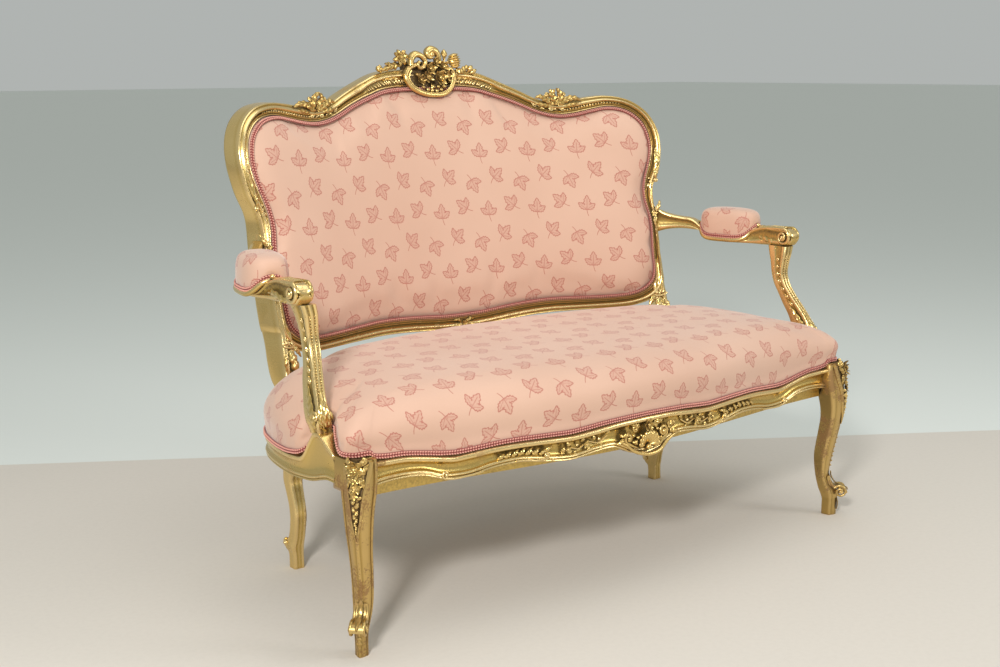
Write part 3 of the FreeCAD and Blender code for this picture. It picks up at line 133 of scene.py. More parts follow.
SUPPORT: list[Row] = [
    (388, 650, 103, 14, 17), (400, 652, 103, 15, 19), (410, 654, 104, 16, 22), (430, 655, 110, 13, 26),
    (452, 652, 120, 11, 25), (480, 645, 136, 11, 22), (505, 638, 149, 11, 18), (528, 633, 160, 12, 16),
    (552, 632, 167, 12, 16), (576, 634, 169, 13, 19), (597, 637, 171, 14, 24), (614, 641, 174, 15, 27),
]
SEAT_EDGE: list[Row] = [
    (0, -47, 349, 1), (60, -46.5, 348, 1), (110, -44, 346, 1), (150, -41, 342.5, 1), (190, -37.5, 340, 1),
    (235, -32.5, 341, 1), (280, -27, 342, 1), (335, -19, 342, 1), (385, -12, 339, 1), (430, -7.5, 337, 1),
    (465, -4.5, 340, 1), (500, -2, 346, 1), (540, 0, 352, 1), (580, 1.5, 354, 1), (602, 2, 358, 1),
    (609, 2, 364, 1), (638, 4, 364.5, 1), (649, 14, 364.5, 1), (653, 34, 366, 1), (649, 54, 381, 0),
    (640, 72, 393, 0), (632, 86, 395, 0), (631, 104, 395, 0), (632, 120, 395, 0), (644, 138, 362, 0),
    (660, 156, 343, 1), (664, 190, 335.5, 1), (661, 235, 333, 1), (649, 292, 331.5, 1), (633, 342, 330.5, 1),
    (610, 384, 329.5, 1), (582, 413, 328.5, 1), (556, 417, 328, 0), (538, 417, 338, 0), (514, 416, 340, 0),
    (491, 417, 338, 0), (489, 440, 332, 0), (482, 461, 327.5, 0), (430, 480, 327.5, 0), (360, 503, 327.5, 0),
    (280, 525, 327.5, 0), (190, 543, 327.5, 0), (100, 554, 327.5, 0), (0, 557.5, 327.5, 0),
]
SEAT_RINGS: list[Row] = [
    (0.0, 0.0), (-0.026, 0.26), (-0.036, 0.44), (-0.022, 0.62), (0.022, 0.77), (0.08, 0.875), (0.18, 0.945),
    (0.34, 0.98), (0.60, 0.996), (0.85, 1.0), (1.0, 1.0),
]
SEAT_BACK_FALL: list[Row] = [(440, 0), (480, -6), (510, -16), (530, -28), (548, -48), (562, -80)]


PAD_CENTRE = (637.0, 333.0)
PAD_TURN = -77.0
PAD_RINGS: list[Row] = [(0.95, 0.0), (0.975, 0.05), (0.99, 0.12), (1.0, 0.35), (0.98, 0.60), (0.90, 0.82), (0.70, 0.95),
                        (0.4, 1.0), (0.15, 1.0)]
BACK_RINGS: list[Row] = [(0.0, 5.0, 0.0), (0.012, 0.5, 0.0), (0.04, 0.0, 0.28), (0.10, 0.0, 0.55), (0.25, 0.0, 0.84),
                         (0.5, 0.0, 0.97), (0.75, 0.0, 1.0), (0.9, 0.0, 1.0)]
SEAT_SPINE = (380.0, 262.0)
BACK_SPINE = (330.0, 706.0)
SEAT_CROWN, SEAT_END_FALL, SEAT_REACH = 468.0, 30.0, 650.0
BACK_CROWN, BACK_OUTSIDE = 24.0, 24.0
BACK_FACE, BACK_RAKE, BACK_BOW, BOW_REACH = 455.4, 0.25, 134.0, 560.0
PAD_REACH, PAD_HALF_WIDTH, PAD_TOP, PAD_SIDE_EDGE, PAD_END_EDGE = 73.0, 44.0, 691.0, 622.0, 650.0
HESSIAN_HEIGHT = 405.5
LEG_CORNER = 639.0              # where a front foot stands, across
ARM_ROOT_ROW, ARM_ROOT_HEIGHT, ARM_ROOT_DEPTH = 25, 656.0, 22.0
SPINE_STEPS = 40                # spans of a cushion's middle line
PRESS_FRAMES = 20               # frames of a cushion's simulation


def lerp(a: float, b: float, t: float) -> float:
    """The value a share t of the way from a to b."""
    return a + (b - a) * t


def mix(a: Vector, b: Vector, t: float) -> Vector:
    """The place a share t of the way from a to b."""
    return a + (b - a) * t


def flow(rows: Sequence[Row], steps: int, closed: bool = False) -> list[tuple[float, ...]]:
    """Rows of a smooth curve through a table's rows.

    Args:
        rows: The table, whose rows are equally long.
        steps: New rows for each span of the table.
        closed: Whether the last row joins the first.

    Returns:
        The new rows, those of the table among them.
    """
    count = len(rows)

    def row(i: int) -> tuple[float, ...]:
        if closed:
            return tuple(rows[i % count])
        if i < 0:
            return tuple(2 * a - b for a, b in zip(rows[0], rows[1]))
        if i >= count:
            return tuple(2 * a - b for a, b in zip(rows[-1], rows[-2]))
        return tuple(rows[i])

    def between(a: Row, b: Row, ta: float, tb: float, t: float) -> tuple[float, ...]:
        share = (t - ta) / (tb - ta)
        return tuple(x + (y - x) * share for x, y in zip(a, b))

    made: list[tuple[float, ...]] = []
    for i in range(count if closed else count - 1):
        p = [row(i + j) for j in (-1, 0, 1, 2)]
        knots = [0.0]
        for a, b in zip(p, p[1:]):
            knots.append(knots[-1] + max(math.dist(a, b), 1e-6) ** 0.5)
        for k in range(steps):
            t = lerp(knots[1], knots[2], k / steps)
            a = [between(p[j], p[j + 1], knots[j], knots[j + 1], t) for j in range(3)]
            b = [between(a[j], a[j + 1], knots[j], knots[j + 2], t) for j in range(2)]
            made.append(between(b[0], b[1], knots[1], knots[2], t))
    if not closed:
        made.append(tuple(float(v) for v in rows[-1]))
    return made


def look_up(table: Sequence[Row], at: float, column: int) -> float:
    """A table's value in a column where its first column is at, in straight runs between rows."""
    if at <= table[0][0]:
        return table[0][column]
    for a, b in zip(table, table[1:]):
        if at <= b[0]:
            return lerp(a[column], b[column], (at - a[0]) / (b[0] - a[0]))
    return table[-1][column]


def back_y(x: float, z: float) -> float:
    """The reference face of the back: raked, and curved forward at its ends."""
    return BACK_FACE + BACK_RAKE * z - BACK_BOW * (x / BOW_REACH) ** 2


def back_place(x: float, z: float, depth: float, turned: float = 1.0) -> Vector:
    """A place at a depth behind the back's reference face, square to its curve in plan."""
    slope = turned * 2 * BACK_BOW * x / BOW_REACH ** 2
    length = math.hypot(slope, 1.0)
    return Vector((x + depth * slope / length, back_y(x, z) + depth / length, z))


def back_relief(x: float, z: float, h: float) -> Vector:
    """A place on the front of the back's frame, h before its reference face."""
    return back_place(x, z, -h)


FINE_APRON = flow(APRON, 6)


def front_y(x: float) -> float:
    """The face of the front rail in plan: straight at its ends and bowed between them."""
    return -26.0 * (1 + math.cos(math.pi * min(abs(x), 620.0) / 620.0))


def apron_relief(x: float, z: float, h: float) -> Vector:
    """A place h before the hollow face of the front rail."""
    return Vector((x, front_y(x) + 6.0 - h, z))


def leg_plan(s: float, t: float, z: float) -> Vector:
    """A place from its distance along and across the diagonal of the right front corner."""
    c = math.sqrt(0.5)
    return Vector((LEG_CORNER + c * (s + t), c * (t - s), z))


def leg_front(z: float) -> float:
    """How far the right front leg reaches outwards at a height."""
    return look_up(FRONT_LEG, z, 2)


def knee_relief(t: float, z: float, h: float) -> Vector:
    """A place h before the right knee: t is across its corner."""
    return leg_plan(leg_front(z) + h - 0.85 * max(0.0, abs(t) - 3.0), t, z)


# Meshes
@dataclass
class Skin:
    """The points, faces and tones of one piece while it is built, in millimetres in the maker's frame.

    A tone runs from 0 in the recesses to 1 on the crests, and the finishes read it to paint shade in the recesses and
    highlights on the crests.
    """

    shift: float = 0.0
    points: list[Vector] = field(default_factory=list)
    tones: list[float] = field(default_factory=list)
    faces: list[tuple[int, ...]] = field(default_factory=list)
    maps: list[tuple[float, float]] = field(default_factory=list)

    def rings(self, rings: Sequence[Sequence[Vector]], tones: Optional[Sequence[Sequence[float]]] = None,
              closed: bool = False, caps: bool = True,
              maps: Optional[Sequence[Sequence[tuple[float, float]]]] = None) -> None:
        """Adds a skin through closed rings of as many points each.

        Args:
            rings: The rings in order.
            tones: A tone for each point, or None for an even 0.7.
            closed: Whether the last ring joins the first.
            caps: Whether the end rings are closed with a fan.
            maps: The cloth map's place of each point, where the piece has one.
        """
        base, wide = len(self.points), len(rings[0])
        for i, ring in enumerate(rings):
            self.points.extend(ring)
            self.tones.extend(tones[i] if tones else [0.7] * wide)
            self.maps.extend(maps[i] if maps else [(0.0, 0.0)] * wide)
        spans = len(rings) if closed else len(rings) - 1
        for i in range(spans):
            a, b = base + i * wide, base + ((i + 1) % len(rings)) * wide
            for j in range(wide):
                k = (j + 1) % wide
                self.faces.append((a + j, a + k, b + k, b + j))
        if caps and not closed:
            for i in (0, len(rings) - 1):
                self.fan(base + i * wide, wide, i > 0)

    def fan(self, start: int, wide: int, turned: bool) -> None:
        """Closes a ring of points with a fan round its middle."""
        ring = range(start, start + wide)
        middle = sum((self.points[i] for i in ring), Vector()) / wide
        self.points.append(middle)
        self.tones.append(sum(self.tones[i] for i in ring) / wide)
        self.maps.append(tuple(sum(self.maps[i][n] for i in ring) / wide for n in (0, 1)))
        top = len(self.points) - 1
        for j in range(wide):
            a, b = start + j, start + (j + 1) % wide
            self.faces.append((a, b, top) if turned else (b, a, top))

    def tube(self, path: Sequence[Spot], sizes: Sequence[float], surface: Surface, sides: int = 8,
             rise: float = 1.0, closed: bool = False, tone: tuple[float, float] = (0.25, 1.0)) -> None:
        """Adds a round or flattened tube that lies along a path on a surface.

        Args:
            path: Places (u, v, h) of its middle.
            sizes: Its radius at each place.
            surface: Where (u, v, h) lies.
            sides: The faces round it.
            rise: How much taller than wide it is.
            closed: Whether its ends join.
            tone: The tones at its foot and on its crest.
        """
        count, rings, tones = len(path), [], []
        for i, (u, v, h) in enumerate(path):
            before = path[(i - 1) % count] if closed or i else path[0]
            after = path[(i + 1) % count] if closed or i < count - 1 else path[-1]
            du, dv, dh = (after[n] - before[n] for n in range(3))
            flat = math.hypot(du, dv) or 1e-6
            length = math.hypot(flat, dh)
            su, sv = -dv / flat, du / flat
            ring, ring_tones = [], []
            for j in range(sides):
                angle = 2 * math.pi * j / sides
                across, up = math.cos(angle) * sizes[i], math.sin(angle) * sizes[i] * rise
                lean = -up * dh / length
                ring.append(surface(u + su * across + du / flat * lean, v + sv * across + dv / flat * lean,
                                    h + up * flat / length))
                ring_tones.append(lerp(tone[0], tone[1], (math.sin(angle) + 1) / 2))
            rings.append(ring)
            tones.append(ring_tones)
        self.rings(rings, tones, closed=closed)

    def ball(self, u: float, v: float, h: float, radius: float, surface: Surface, sides: int = 10,
             rise: float = 1.0) -> None:
        """Adds a ball or a flattened boss."""
        steps = max(4, sides // 2 + 1)
        path, sizes = [], []
        for i in range(steps + 1):
            angle = math.pi * (0.06 + 0.88 * i / steps)
            path.append((u - math.cos(angle) * radius, v, h))
            sizes.append(math.sin(angle) * radius)
        self.tube(path, sizes, surface, sides, rise)

    def stem(self, path: Sequence[Row], on: Surface, *shape: float, **rest: tuple[float, float]) -> None:
        """A tube along places whose fourth number is its radius there."""
        self.tube([p[:3] for p in path], [p[3] for p in path], on, *shape, **rest)

    def lobe(self, start: Spot, end: Spot, wide: float, surface: Surface, rise: float = 0.8, peak: float = 0.6,
             sides: int = 8, steps: int = 7) -> None:
        """Adds a drop-shaped lobe from one place to another.

        Args:
            start: Its narrow end.
            end: Its round end.
            wide: Half its greatest width.
            surface: Where it lies.
            rise: How tall it is for its width.
            peak: Where along it is widest.
            sides: The faces round it.
            steps: The spans along it.
        """
        path, sizes = [], []
        for i in range(steps + 1):
            t = i / steps
            swell = t / peak if t < peak else 1.0
            size = math.sin(math.pi / 2 * swell) if t < peak else math.cos(math.pi / 2 * (t - peak) / (1 - peak))
            path.append(tuple(lerp(start[n], end[n], t) for n in range(3)))
            sizes.append(max(wide * size, 0.05 * wide))
        self.tube(path, sizes, surface, sides, rise)

    def leaf(self, path: Sequence[Spot], wide: float, surface: Surface, lobes: int = 4, rise: float = 3.0,
             curl: float = 0.0, cut: float = 0.3, steps: int = 5) -> None:
        """Adds a carved leaf with a midrib, side ribs and a lobed edge.

        Args:
            path: A few places of its midrib, from the foot to the tip.
            wide: Half its greatest width.
            surface: Where it lies.
            lobes: The lobes on each side.
            rise: How far its crest stands above its foot.
            curl: How much higher its tip stands.
            cut: How deep the edge is cut between the lobes.
            steps: The rows for each lobe.
        """
        spans = max(2, math.ceil(lobes * steps / (len(path) - 1)))
        line = flow(path, spans)
        count, half = len(line) - 1, 6
        rings, tones = [], []
        for i, (u, v, h) in enumerate(line):
            t = i / count
            a, b = line[max(i - 1, 0)], line[min(i + 1, count)]
            du, dv = b[0] - a[0], b[1] - a[1]
            flat = math.hypot(du, dv) or 1e-6
            su, sv = -dv / flat, du / flat
            body = math.sin(math.pi * min(0.06 + 0.90 * t ** 0.8, 0.985)) ** 0.75
            wave = 0.5 - 0.5 * math.cos(2 * math.pi * lobes * t)
            size = wide * body * (1 - cut * (1 - wave))
            lift = h + curl * t ** 2
            ring, ring_tones = [], []
            for j in range(-half, half + 1):
                c = j / half
                rib = 0.5 + 0.5 * math.cos(2 * math.pi * lobes * (t - 0.18 * abs(c)))
                crest = (1 - c * c) ** 0.6 * (0.62 + 0.38 * rib) + 0.25 * math.exp(-(c / 0.18) ** 2)
                along = -size * 0.35 * abs(c)
                ring.append(surface(u + su * size * c + du / flat * along, v + sv * size * c + dv / flat * along,
                                    lift + rise * crest * (0.35 + 0.65 * body)))
                ring_tones.append(min(1.0, 0.15 + 0.85 * crest * (0.4 + 0.6 * rib)))
            for j in range(half - 1, -half, -1):
                c = j / half
                ring.append(surface(u + su * size * c * 0.9, v + sv * size * c * 0.9, lift - 1.2))
                ring_tones.append(0.1)
            rings.append(ring)
            tones.append(ring_tones)
        self.rings(rings, tones)

    def volute(self, centre: tuple[float, float], radius: float, turns: float, start: float, size: float,
               surface: Surface, lift: float = 0.0, hand: int = 1, inner: float = 0.22, boss: float = 1.25,
               lead: Sequence[Spot] = (), lead_size: float = 0.6) -> None:
        """Adds a scroll that winds in to a boss.

        Args:
            centre: Its middle (u, v).
            radius: Where it starts to wind.
            turns: How often it winds.
            start: The angle in degrees where it starts.
            size: The tube's radius there.
            surface: Where it lies.
            lift: Its height above the surface.
            hand: 1 to wind one way, -1 the other.
            inner: The radius at its end, as a share of the first.
            boss: The boss's radius for the tube's.
            lead: Places of a stem that runs into the scroll.
            lead_size: The stem's radius at its far end, for the tube's.
        """
        count = max(10, int(18 * turns))
        path = list(lead)
        sizes = [size * lerp(lead_size, 1.0, (i + 1) / (len(lead) + 1)) for i in range(len(lead))]
        for i in range(count + 1):
            t = i / count
            angle = math.radians(start) + hand * 2 * math.pi * turns * t
            r = radius * lerp(1.0, inner, t ** 0.85)
            path.append((centre[0] + r * math.cos(angle), centre[1] + r * math.sin(angle), lift + 1.5 * size * t * t))
            sizes.append(size * lerp(1.0, 0.62, t))
        if lead:
            whole = flow([(*p, s) for p, s in zip(path[:len(lead) + 1], sizes)], 4)[:-1]
            path = [p[:3] for p in whole] + path[len(lead):]
            sizes = [p[3] for p in whole] + sizes[len(lead):]
        self.tube(path, sizes, surface, 8, 1.1)
        self.ball(centre[0], centre[1], lift + size * 0.9, size * boss, surface)

    def flower(self, u: float, v: float, h: float, radius: float, surface: Surface, petals: int = 5,
               turn: float = 0.0, cup: float = 0.35) -> None:
        """Adds an open flower: spoon-shaped petals round a boss."""
        for i in range(petals):
            angle = math.radians(turn + 360.0 * i / petals)
            c, s = math.cos(angle), math.sin(angle)
            foot = (u + c * radius * 0.15, v + s * radius * 0.15, h + 0.5)
            middle = (u + c * radius * 0.6, v + s * radius * 0.6, h + radius * 0.12)
            tip = (u + c * radius, v + s * radius, h + radius * cup)
            self.leaf([foot, middle, tip], radius * 0.42, surface, lobes=1, rise=radius * 0.22, cut=0.0, steps=6)
        self.ball(u, v, h + radius * 0.25, radius * 0.26, surface)

    def husk(self, u: float, v: float, h: float, long: float, wide: float, turn: float, surface: Surface) -> None:
        """Adds a husk: three lobes that open from one foot."""
        for spread, share in ((-32.0, 0.85), (32.0, 0.85), (0.0, 1.0)):
            angle = math.radians(turn + spread)
            end = (u + math.cos(angle) * long * share, v + math.sin(angle) * long * share, h + 0.8)
            self.lobe((u, v, h), end, wide * 0.5, surface, 0.8, 0.62, 6, 5)

    def shell(self, u: float, v: float, h: float, radius: float, turn: float, spread: float, ribs: int,
              surface: Surface, foot: float = 0.18) -> None:
        """Adds a ribbed shell that opens over a spread of degrees round a direction."""
        for i in range(ribs):
            angle = math.radians(turn + spread * (i / (ribs - 1) - 0.5))
            c, s = math.cos(angle), math.sin(angle)
            reach = radius * (1 - 0.12 * abs(2 * i / (ribs - 1) - 1) ** 2)
            wide = reach * math.radians(spread) / (ribs - 1) * 0.62
            self.lobe((u + c * radius * foot, v + s * radius * foot, h),
                      (u + c * reach, v + s * reach, h + radius * 0.2), wide, surface, 0.9, 0.8, 7, 7)

    def absorb(self, mesh: bpy.types.Mesh) -> None:
        """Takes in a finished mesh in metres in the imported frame, with its tones."""
        base = len(self.points)
        tone = mesh.attributes.get(TONE)
        for i, vertex in enumerate(mesh.vertices):
            co = vertex.co
            self.points.append(Vector((co.x / MM, (co.y - self.shift) / MM, co.z / MM)))
            self.tones.append(tone.data[i].value if tone else 0.7)
            self.maps.append((0.0, 0.0))
        for polygon in mesh.polygons:
            self.faces.append(tuple(base + i for i in polygon.vertices))

    def merged(self, other: "Skin") -> None:
        """Takes in another skin's points and faces."""
        base = len(self.points)
        self.points += other.points
        self.tones += other.tones
        self.maps += other.maps
        self.faces += [tuple(base + i for i in face) for face in other.faces]

    def reflected(self) -> "Skin":
        """The same skin on the other side of the middle."""
        points = [Vector((-p.x, p.y, p.z)) for p in self.points]
        maps = [(-u, v) for u, v in self.maps]
        return Skin(self.shift, points, list(self.tones), [tuple(reversed(f)) for f in self.faces], maps)

    def build(self, name: str, material: bpy.types.Material, with_map: bool = False,
              sharp: float = 50.0) -> bpy.types.Object:
        """Makes the object.

        Args:
            name: Its name.
            material: Its finish.
            with_map: Whether it carries the cloth map.
            sharp: Edges that turn by more degrees than this stay sharp.

        Returns:
            The object, at the origin, with its place in its mesh.
        """
        mesh = bpy.data.meshes.new(name)
        moved = [(p.x * MM, p.y * MM + self.shift, p.z * MM) for p in self.points]
        mesh.from_pydata(moved, [], self.faces)
        mesh.attributes.new(TONE, "FLOAT", "POINT").data.foreach_set("value", self.tones)
        if with_map:
            layer = mesh.uv_layers.new(name=CLOTH_MAP)
            for loop in mesh.loops:
                layer.data[loop.index].uv = self.maps[loop.vertex_index]
        work = bmesh.new()
        work.from_mesh(mesh)
        bmesh.ops.dissolve_degenerate(work, dist=1e-7, edges=work.edges)
        bmesh.ops.recalc_face_normals(work, faces=work.faces)
        limit = math.radians(sharp)
        for face in work.faces:
            face.smooth = True
        for edge in work.edges:
            edge.smooth = not (edge.is_manifold and edge.calc_face_angle(0.0) > limit)
        work.to_mesh(mesh)
        work.free()
        mesh.materials.append(material)
        made = bpy.data.objects.new(name, mesh)
        bpy.context.scene.collection.objects.link(made)
        return made


# Repeats along a path
@dataclass
class Along:
    """Geometry nodes that set one small shape again and again along a path.

    The path is a line of mesh edges that carries the way out of the surface and a size at each point.
    """

    tree: Optional[bpy.types.NodeTree] = None
    names: dict[str, str] = field(default_factory=dict)

    def plant(self) -> bpy.types.NodeTree:
        """Builds the tree once."""
        tree = bpy.data.node_groups.new("set_along_path", "GeometryNodeTree")
        kinds = {"Path": "NodeSocketGeometry", "Shape": "NodeSocketObject", "Spacing": "NodeSocketFloat",
                 "Finish": "NodeSocketMaterial"}
        for name, kind in kinds.items():
            self.names[name] = tree.interface.new_socket(name, in_out="INPUT", socket_type=kind).identifier
        tree.interface.new_socket("Path", in_out="OUTPUT", socket_type="NodeSocketGeometry")

        def node(kind: str, links: dict[str, bpy.types.NodeSocket], **settings: object) -> bpy.types.Node:
            made = tree.nodes.new(kind)
            for key, value in settings.items():
                setattr(made, key, value)
            for key, socket in links.items():
                tree.links.new(socket, made.inputs[key])
            return made

        def attribute(name: str, kind: str) -> bpy.types.NodeSocket:
            made = tree.nodes.new("GeometryNodeInputNamedAttribute")
            made.data_type = kind
            made.inputs["Name"].default_value = name
            return made.outputs["Attribute"]

        entry = tree.nodes.new("NodeGroupInput").outputs
        curve = node("GeometryNodeMeshToCurve", {"Mesh": entry["Path"]})
        even = node("GeometryNodeResampleCurve", {"Curve": curve.outputs[0], "Length": entry["Spacing"]}, mode="LENGTH")
        shape = node("GeometryNodeObjectInfo", {"Object": entry["Shape"]}, transform_space="ORIGINAL")
        tangent = tree.nodes.new("GeometryNodeInputTangent")
        turn = node("FunctionNodeAxesToRotation", {"Primary Axis": attribute("out", "FLOAT_VECTOR"),
                                                   "Secondary Axis": tangent.outputs[0]},
                    primary_axis="Z", secondary_axis="X")
        placed = node("GeometryNodeInstanceOnPoints", {
            "Points": even.outputs[0], "Instance": shape.outputs["Geometry"], "Rotation": turn.outputs[0],
            "Scale": attribute("size", "FLOAT")})
        real = node("GeometryNodeRealizeInstances", {"Geometry": placed.outputs[0]})
        done = node("GeometryNodeSetMaterial", {"Geometry": real.outputs[0], "Material": entry["Finish"]})
        tree.links.new(done.outputs[0], tree.nodes.new("NodeGroupOutput").inputs[0])
        return tree

    def run(self, path: Sequence[tuple[Vector, Vector, float]], shape: Skin, spacing: float,
            finish: bpy.types.Material, shift: float, closed: bool = False) -> bpy.types.Mesh:
        """Sets a shape along a path.

        Args:
            path: Places in the maker's frame, the way out there and the shape's size.
            shape: The shape, about its own origin: X runs along the path and Z out.
            spacing: The distance between two of them in millimetres.
            finish: Their finish.
            shift: The way from the maker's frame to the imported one, in metres along Y.
            closed: Whether the path's ends join.

        Returns:
            One plain mesh in metres.
        """
        self.tree = self.tree or self.plant()
        unit = Skin(0.0, shape.points, shape.tones, shape.faces, shape.maps).build("unit", finish)
        mesh = bpy.data.meshes.new("path")
        count = len(path)
        edges = [(i, i + 1) for i in range(count - 1)] + ([(count - 1, 0)] if closed else [])
        mesh.from_pydata([(p.x * MM, p.y * MM + shift, p.z * MM) for p, _, _ in path], edges, [])
        out = mesh.attributes.new("out", "FLOAT_VECTOR", "POINT")
        out.data.foreach_set("vector", [c for _, o, _ in path for c in o])
        mesh.attributes.new("size", "FLOAT", "POINT").data.foreach_set("value", [s for _, _, s in path])
        holder = bpy.data.objects.new("path", mesh)
        bpy.context.scene.collection.objects.link(holder)
        modifier = holder.modifiers.new("set along", "NODES")
        modifier.node_group = self.tree
        modifier[self.names["Shape"]] = unit
        modifier[self.names["Spacing"]] = spacing * MM
        modifier[self.names["Finish"]] = finish
        done = bpy.data.meshes.new_from_object(holder.evaluated_get(bpy.context.evaluated_depsgraph_get()))
        for gone in (holder, unit):
            bpy.data.objects.remove(gone)
        return done


ALONG = Along()


def on_surface(path: Sequence[Spot], surface: Surface, size: Callable[[float], float] = lambda t: 1.0,
               ) -> list[tuple[Vector, Vector, float]]:
    """A path on a surface with the way out and a size at each place."""
    made = []
    for i, (u, v, h) in enumerate(path):
        foot, head = surface(u, v, h), surface(u, v, h + 1.0)
        made.append((foot, (head - foot).normalized(), size(i / max(1, len(path) - 1))))
    return made


def flat(u: float, v: float, h: float) -> Vector:
    """The surface of a small shape about its own origin."""
    return Vector((u, v, h))


# Shader maths
class Wire:
    """A socket of a material that takes part in sums."""

    def __init__(self, bench: "Bench", socket: bpy.types.NodeSocket) -> None:
        self.bench, self.socket = bench, socket

    def _math(self, operation: str, *others: "float | Wire", turned: bool = False) -> "Wire":
        values = [self, *others]
        if turned:
            values.reverse()
        return self.bench.node("ShaderNodeMath", {"operation": operation}, dict(enumerate(values)))[0]

    def __add__(self, other: "float | Wire") -> "Wire":
        return self._math("ADD", other)

    def __sub__(self, other: "float | Wire") -> "Wire":
        return self._math("SUBTRACT", other)

    def __mul__(self, other: "float | Wire") -> "Wire":
        return self._math("MULTIPLY", other)

    def __truediv__(self, other: "float | Wire") -> "Wire":
        return self._math("DIVIDE", other)

    def __rsub__(self, other: "float | Wire") -> "Wire":
        return self._math("SUBTRACT", other, turned=True)

    __radd__, __rmul__ = __add__, __mul__

    def one(self, operation: str) -> "Wire":
        """A Math operation on this value alone."""
        return self._math(operation)

    def two(self, operation: str, other: "float | Wire") -> "Wire":
        """A Math operation on this value and another."""
        return self._math(operation, other)

    def over(self, low: float, high: float) -> "Wire":
        """A soft step from 0 at low to 1 at high."""
        return self.bench.node("ShaderNodeMapRange", {"interpolation_type": "SMOOTHSTEP"},
                               {"Value": self, "From Min": low, "From Max": high})["Result"]


class Outlets:
    """The outputs of a node, by name or by number."""

    def __init__(self, bench: "Bench", node: bpy.types.Node) -> None:
        self.bench, self.node = bench, node

    def __getitem__(self, key: "str | int") -> Wire:
        return Wire(self.bench, self.node.outputs[key])


class Bench:
    """One material while its nodes are wired."""

    def __init__(self, name: str) -> None:
        self.material = bpy.data.materials.new(name)
        self.material.use_nodes = True
        self.tree = self.material.node_tree
        self.tree.nodes.clear()

    def node(self, kind: str, settings: Optional[dict[str, object]] = None,
             values: Optional[dict["str | int", object]] = None) -> Outlets:
        """Adds a node.

        Args:
            kind: The node's type.
            settings: Its settings, set first; stops holds a ramp's (place, colour) pairs.
            values: The values or wires of its inputs.

        Returns:
            Its outputs.
        """
        made = self.tree.nodes.new(kind)
        for key, value in (settings or {}).items():
            if key == "stops":
                elements = made.color_ramp.elements
                while len(elements) < len(value):
                    elements.new(0.5)
                for element, (place, colour) in zip(elements, value):
                    element.position, element.color = place, (*colour, 1.0)
            else:
                setattr(made, key, value)
        for key, value in (values or {}).items():
            socket = made.inputs[key]
            if isinstance(value, Wire):
                self.tree.links.new(value.socket, socket)
            else:
                socket.default_value = value
        return Outlets(self, made)

    def place(self) -> Wire:
        """Object coordinates."""
        return self.node("ShaderNodeTexCoord")["Object"]

    def noise(self, where: Wire, scale: float, detail: float = 3.0, rough: float = 0.55) -> Wire:
        """Noise between about 0.2 and 0.8."""
        return self.node("ShaderNodeTexNoise", None,
                         {"Vector": where, "Scale": scale, "Detail": detail, "Roughness": rough})["Fac"]

    def tone(self) -> Wire:
        """The tone that the mesh carries."""
        return self.node("ShaderNodeAttribute", {"attribute_name": TONE})["Fac"]

    def blend(self, share: "float | Wire", a: "Wire | tuple", b: "Wire | tuple", kind: str = "MIX") -> Wire:
        """A colour between a and b."""
        made = self.tree.nodes.new("ShaderNodeMix")
        made.data_type, made.blend_type, made.clamp_factor = "RGBA", kind, True
        for index, value in ((0, share), (6, a), (7, b)):
            if isinstance(value, Wire):
                self.tree.links.new(value.socket, made.inputs[index])
            else:
                made.inputs[index].default_value = value if index == 0 else (*value, 1.0)
        return Wire(self, made.outputs[2])

    def bump(self, height: Wire, strength: float, distance: float) -> Wire:
        """A normal from a height."""
        return self.node("ShaderNodeBump", None, {"Height": height, "Strength": strength, "Distance": distance})[0]

    def finish(self, **inputs: object) -> bpy.types.Material:
        """Closes the material with one surface shader; names give its inputs, with _ for a space."""
        values = {key.replace("_", " "): value for key, value in inputs.items()}
        shader = self.node("ShaderNodeBsdfPrincipled", None, values)
        output = self.tree.nodes.new("ShaderNodeOutputMaterial")
        self.tree.links.new(shader[0].socket, output.inputs["Surface"])
        return self.material


Colour = tuple[float, float, float]


@dataclass(frozen=True)
class Gilding:
    """Water gilding on carved wood: painted highlight on its crests, grime and painted shade in its recesses, rubbed
    through in places.
    """

    name: str
    # bright paints the highlight on the crests; deep is the colour of grime and painted shade in the recesses.
    bright: Colour = (0.93, 0.70, 0.33)
    middle: Colour = (0.66, 0.46, 0.135)
    deep: Colour = (0.075, 0.042, 0.018)
    bole: Colour = (0.23, 0.095, 0.035)
    wear: float = 0.5
    grime_and_shade: float = 0.85
    worn_from: float = 0.62
    roughness: float = 0.25

    def make(self) -> bpy.types.Material:
        """Wires the finish."""
        b = Bench(self.name)
        where = b.place()
        tone, patch, grain = b.tone(), b.noise(where, 19.0, 3.0), b.noise(where, 230.0, 3.0, 0.6)
        fine = b.noise(where, 1100.0, 2.0)
        # Recess: painted shade from ambient occlusion and the tone, together with grime.
        hidden = b.node("ShaderNodeAmbientOcclusion", {"samples": 6, "only_local": False}, {"Distance": 0.014})["AO"]
        recess = (1.0 - (tone + (grain - 0.5) * 0.5).over(0.0, 0.42)).two("MAXIMUM", 1.0 - hidden.over(0.16, 0.66))
        rub = (patch + (grain - 0.5) * 0.55 + (tone - 0.7) * 0.12).over(self.worn_from, self.worn_from + 0.13)
        # Painted highlight: the crests take the bright colour, the recesses the middle one.
        gold = b.blend(tone.over(0.25, 0.95), self.middle, self.bright)
        gold = b.blend((patch - 0.3) * 0.6, gold, self.middle)
        # Grime and painted shade: the recesses go towards the deep colour.
        colour = b.blend(recess * self.grime_and_shade, gold, self.deep)
        colour = b.blend(rub * self.wear, colour, self.bole)
        metal = 0.96 - recess * (0.62 * self.grime_and_shade) - rub * (0.7 * self.wear)
        rough = self.roughness + recess * 0.28 + rub * 0.26 + (grain - 0.5) * 0.12
        return b.finish(Base_Color=colour, Metallic=metal, Roughness=rough,
                        Normal=b.bump(grain * 0.7 + fine * 0.3 + patch, 0.14, 0.0014))


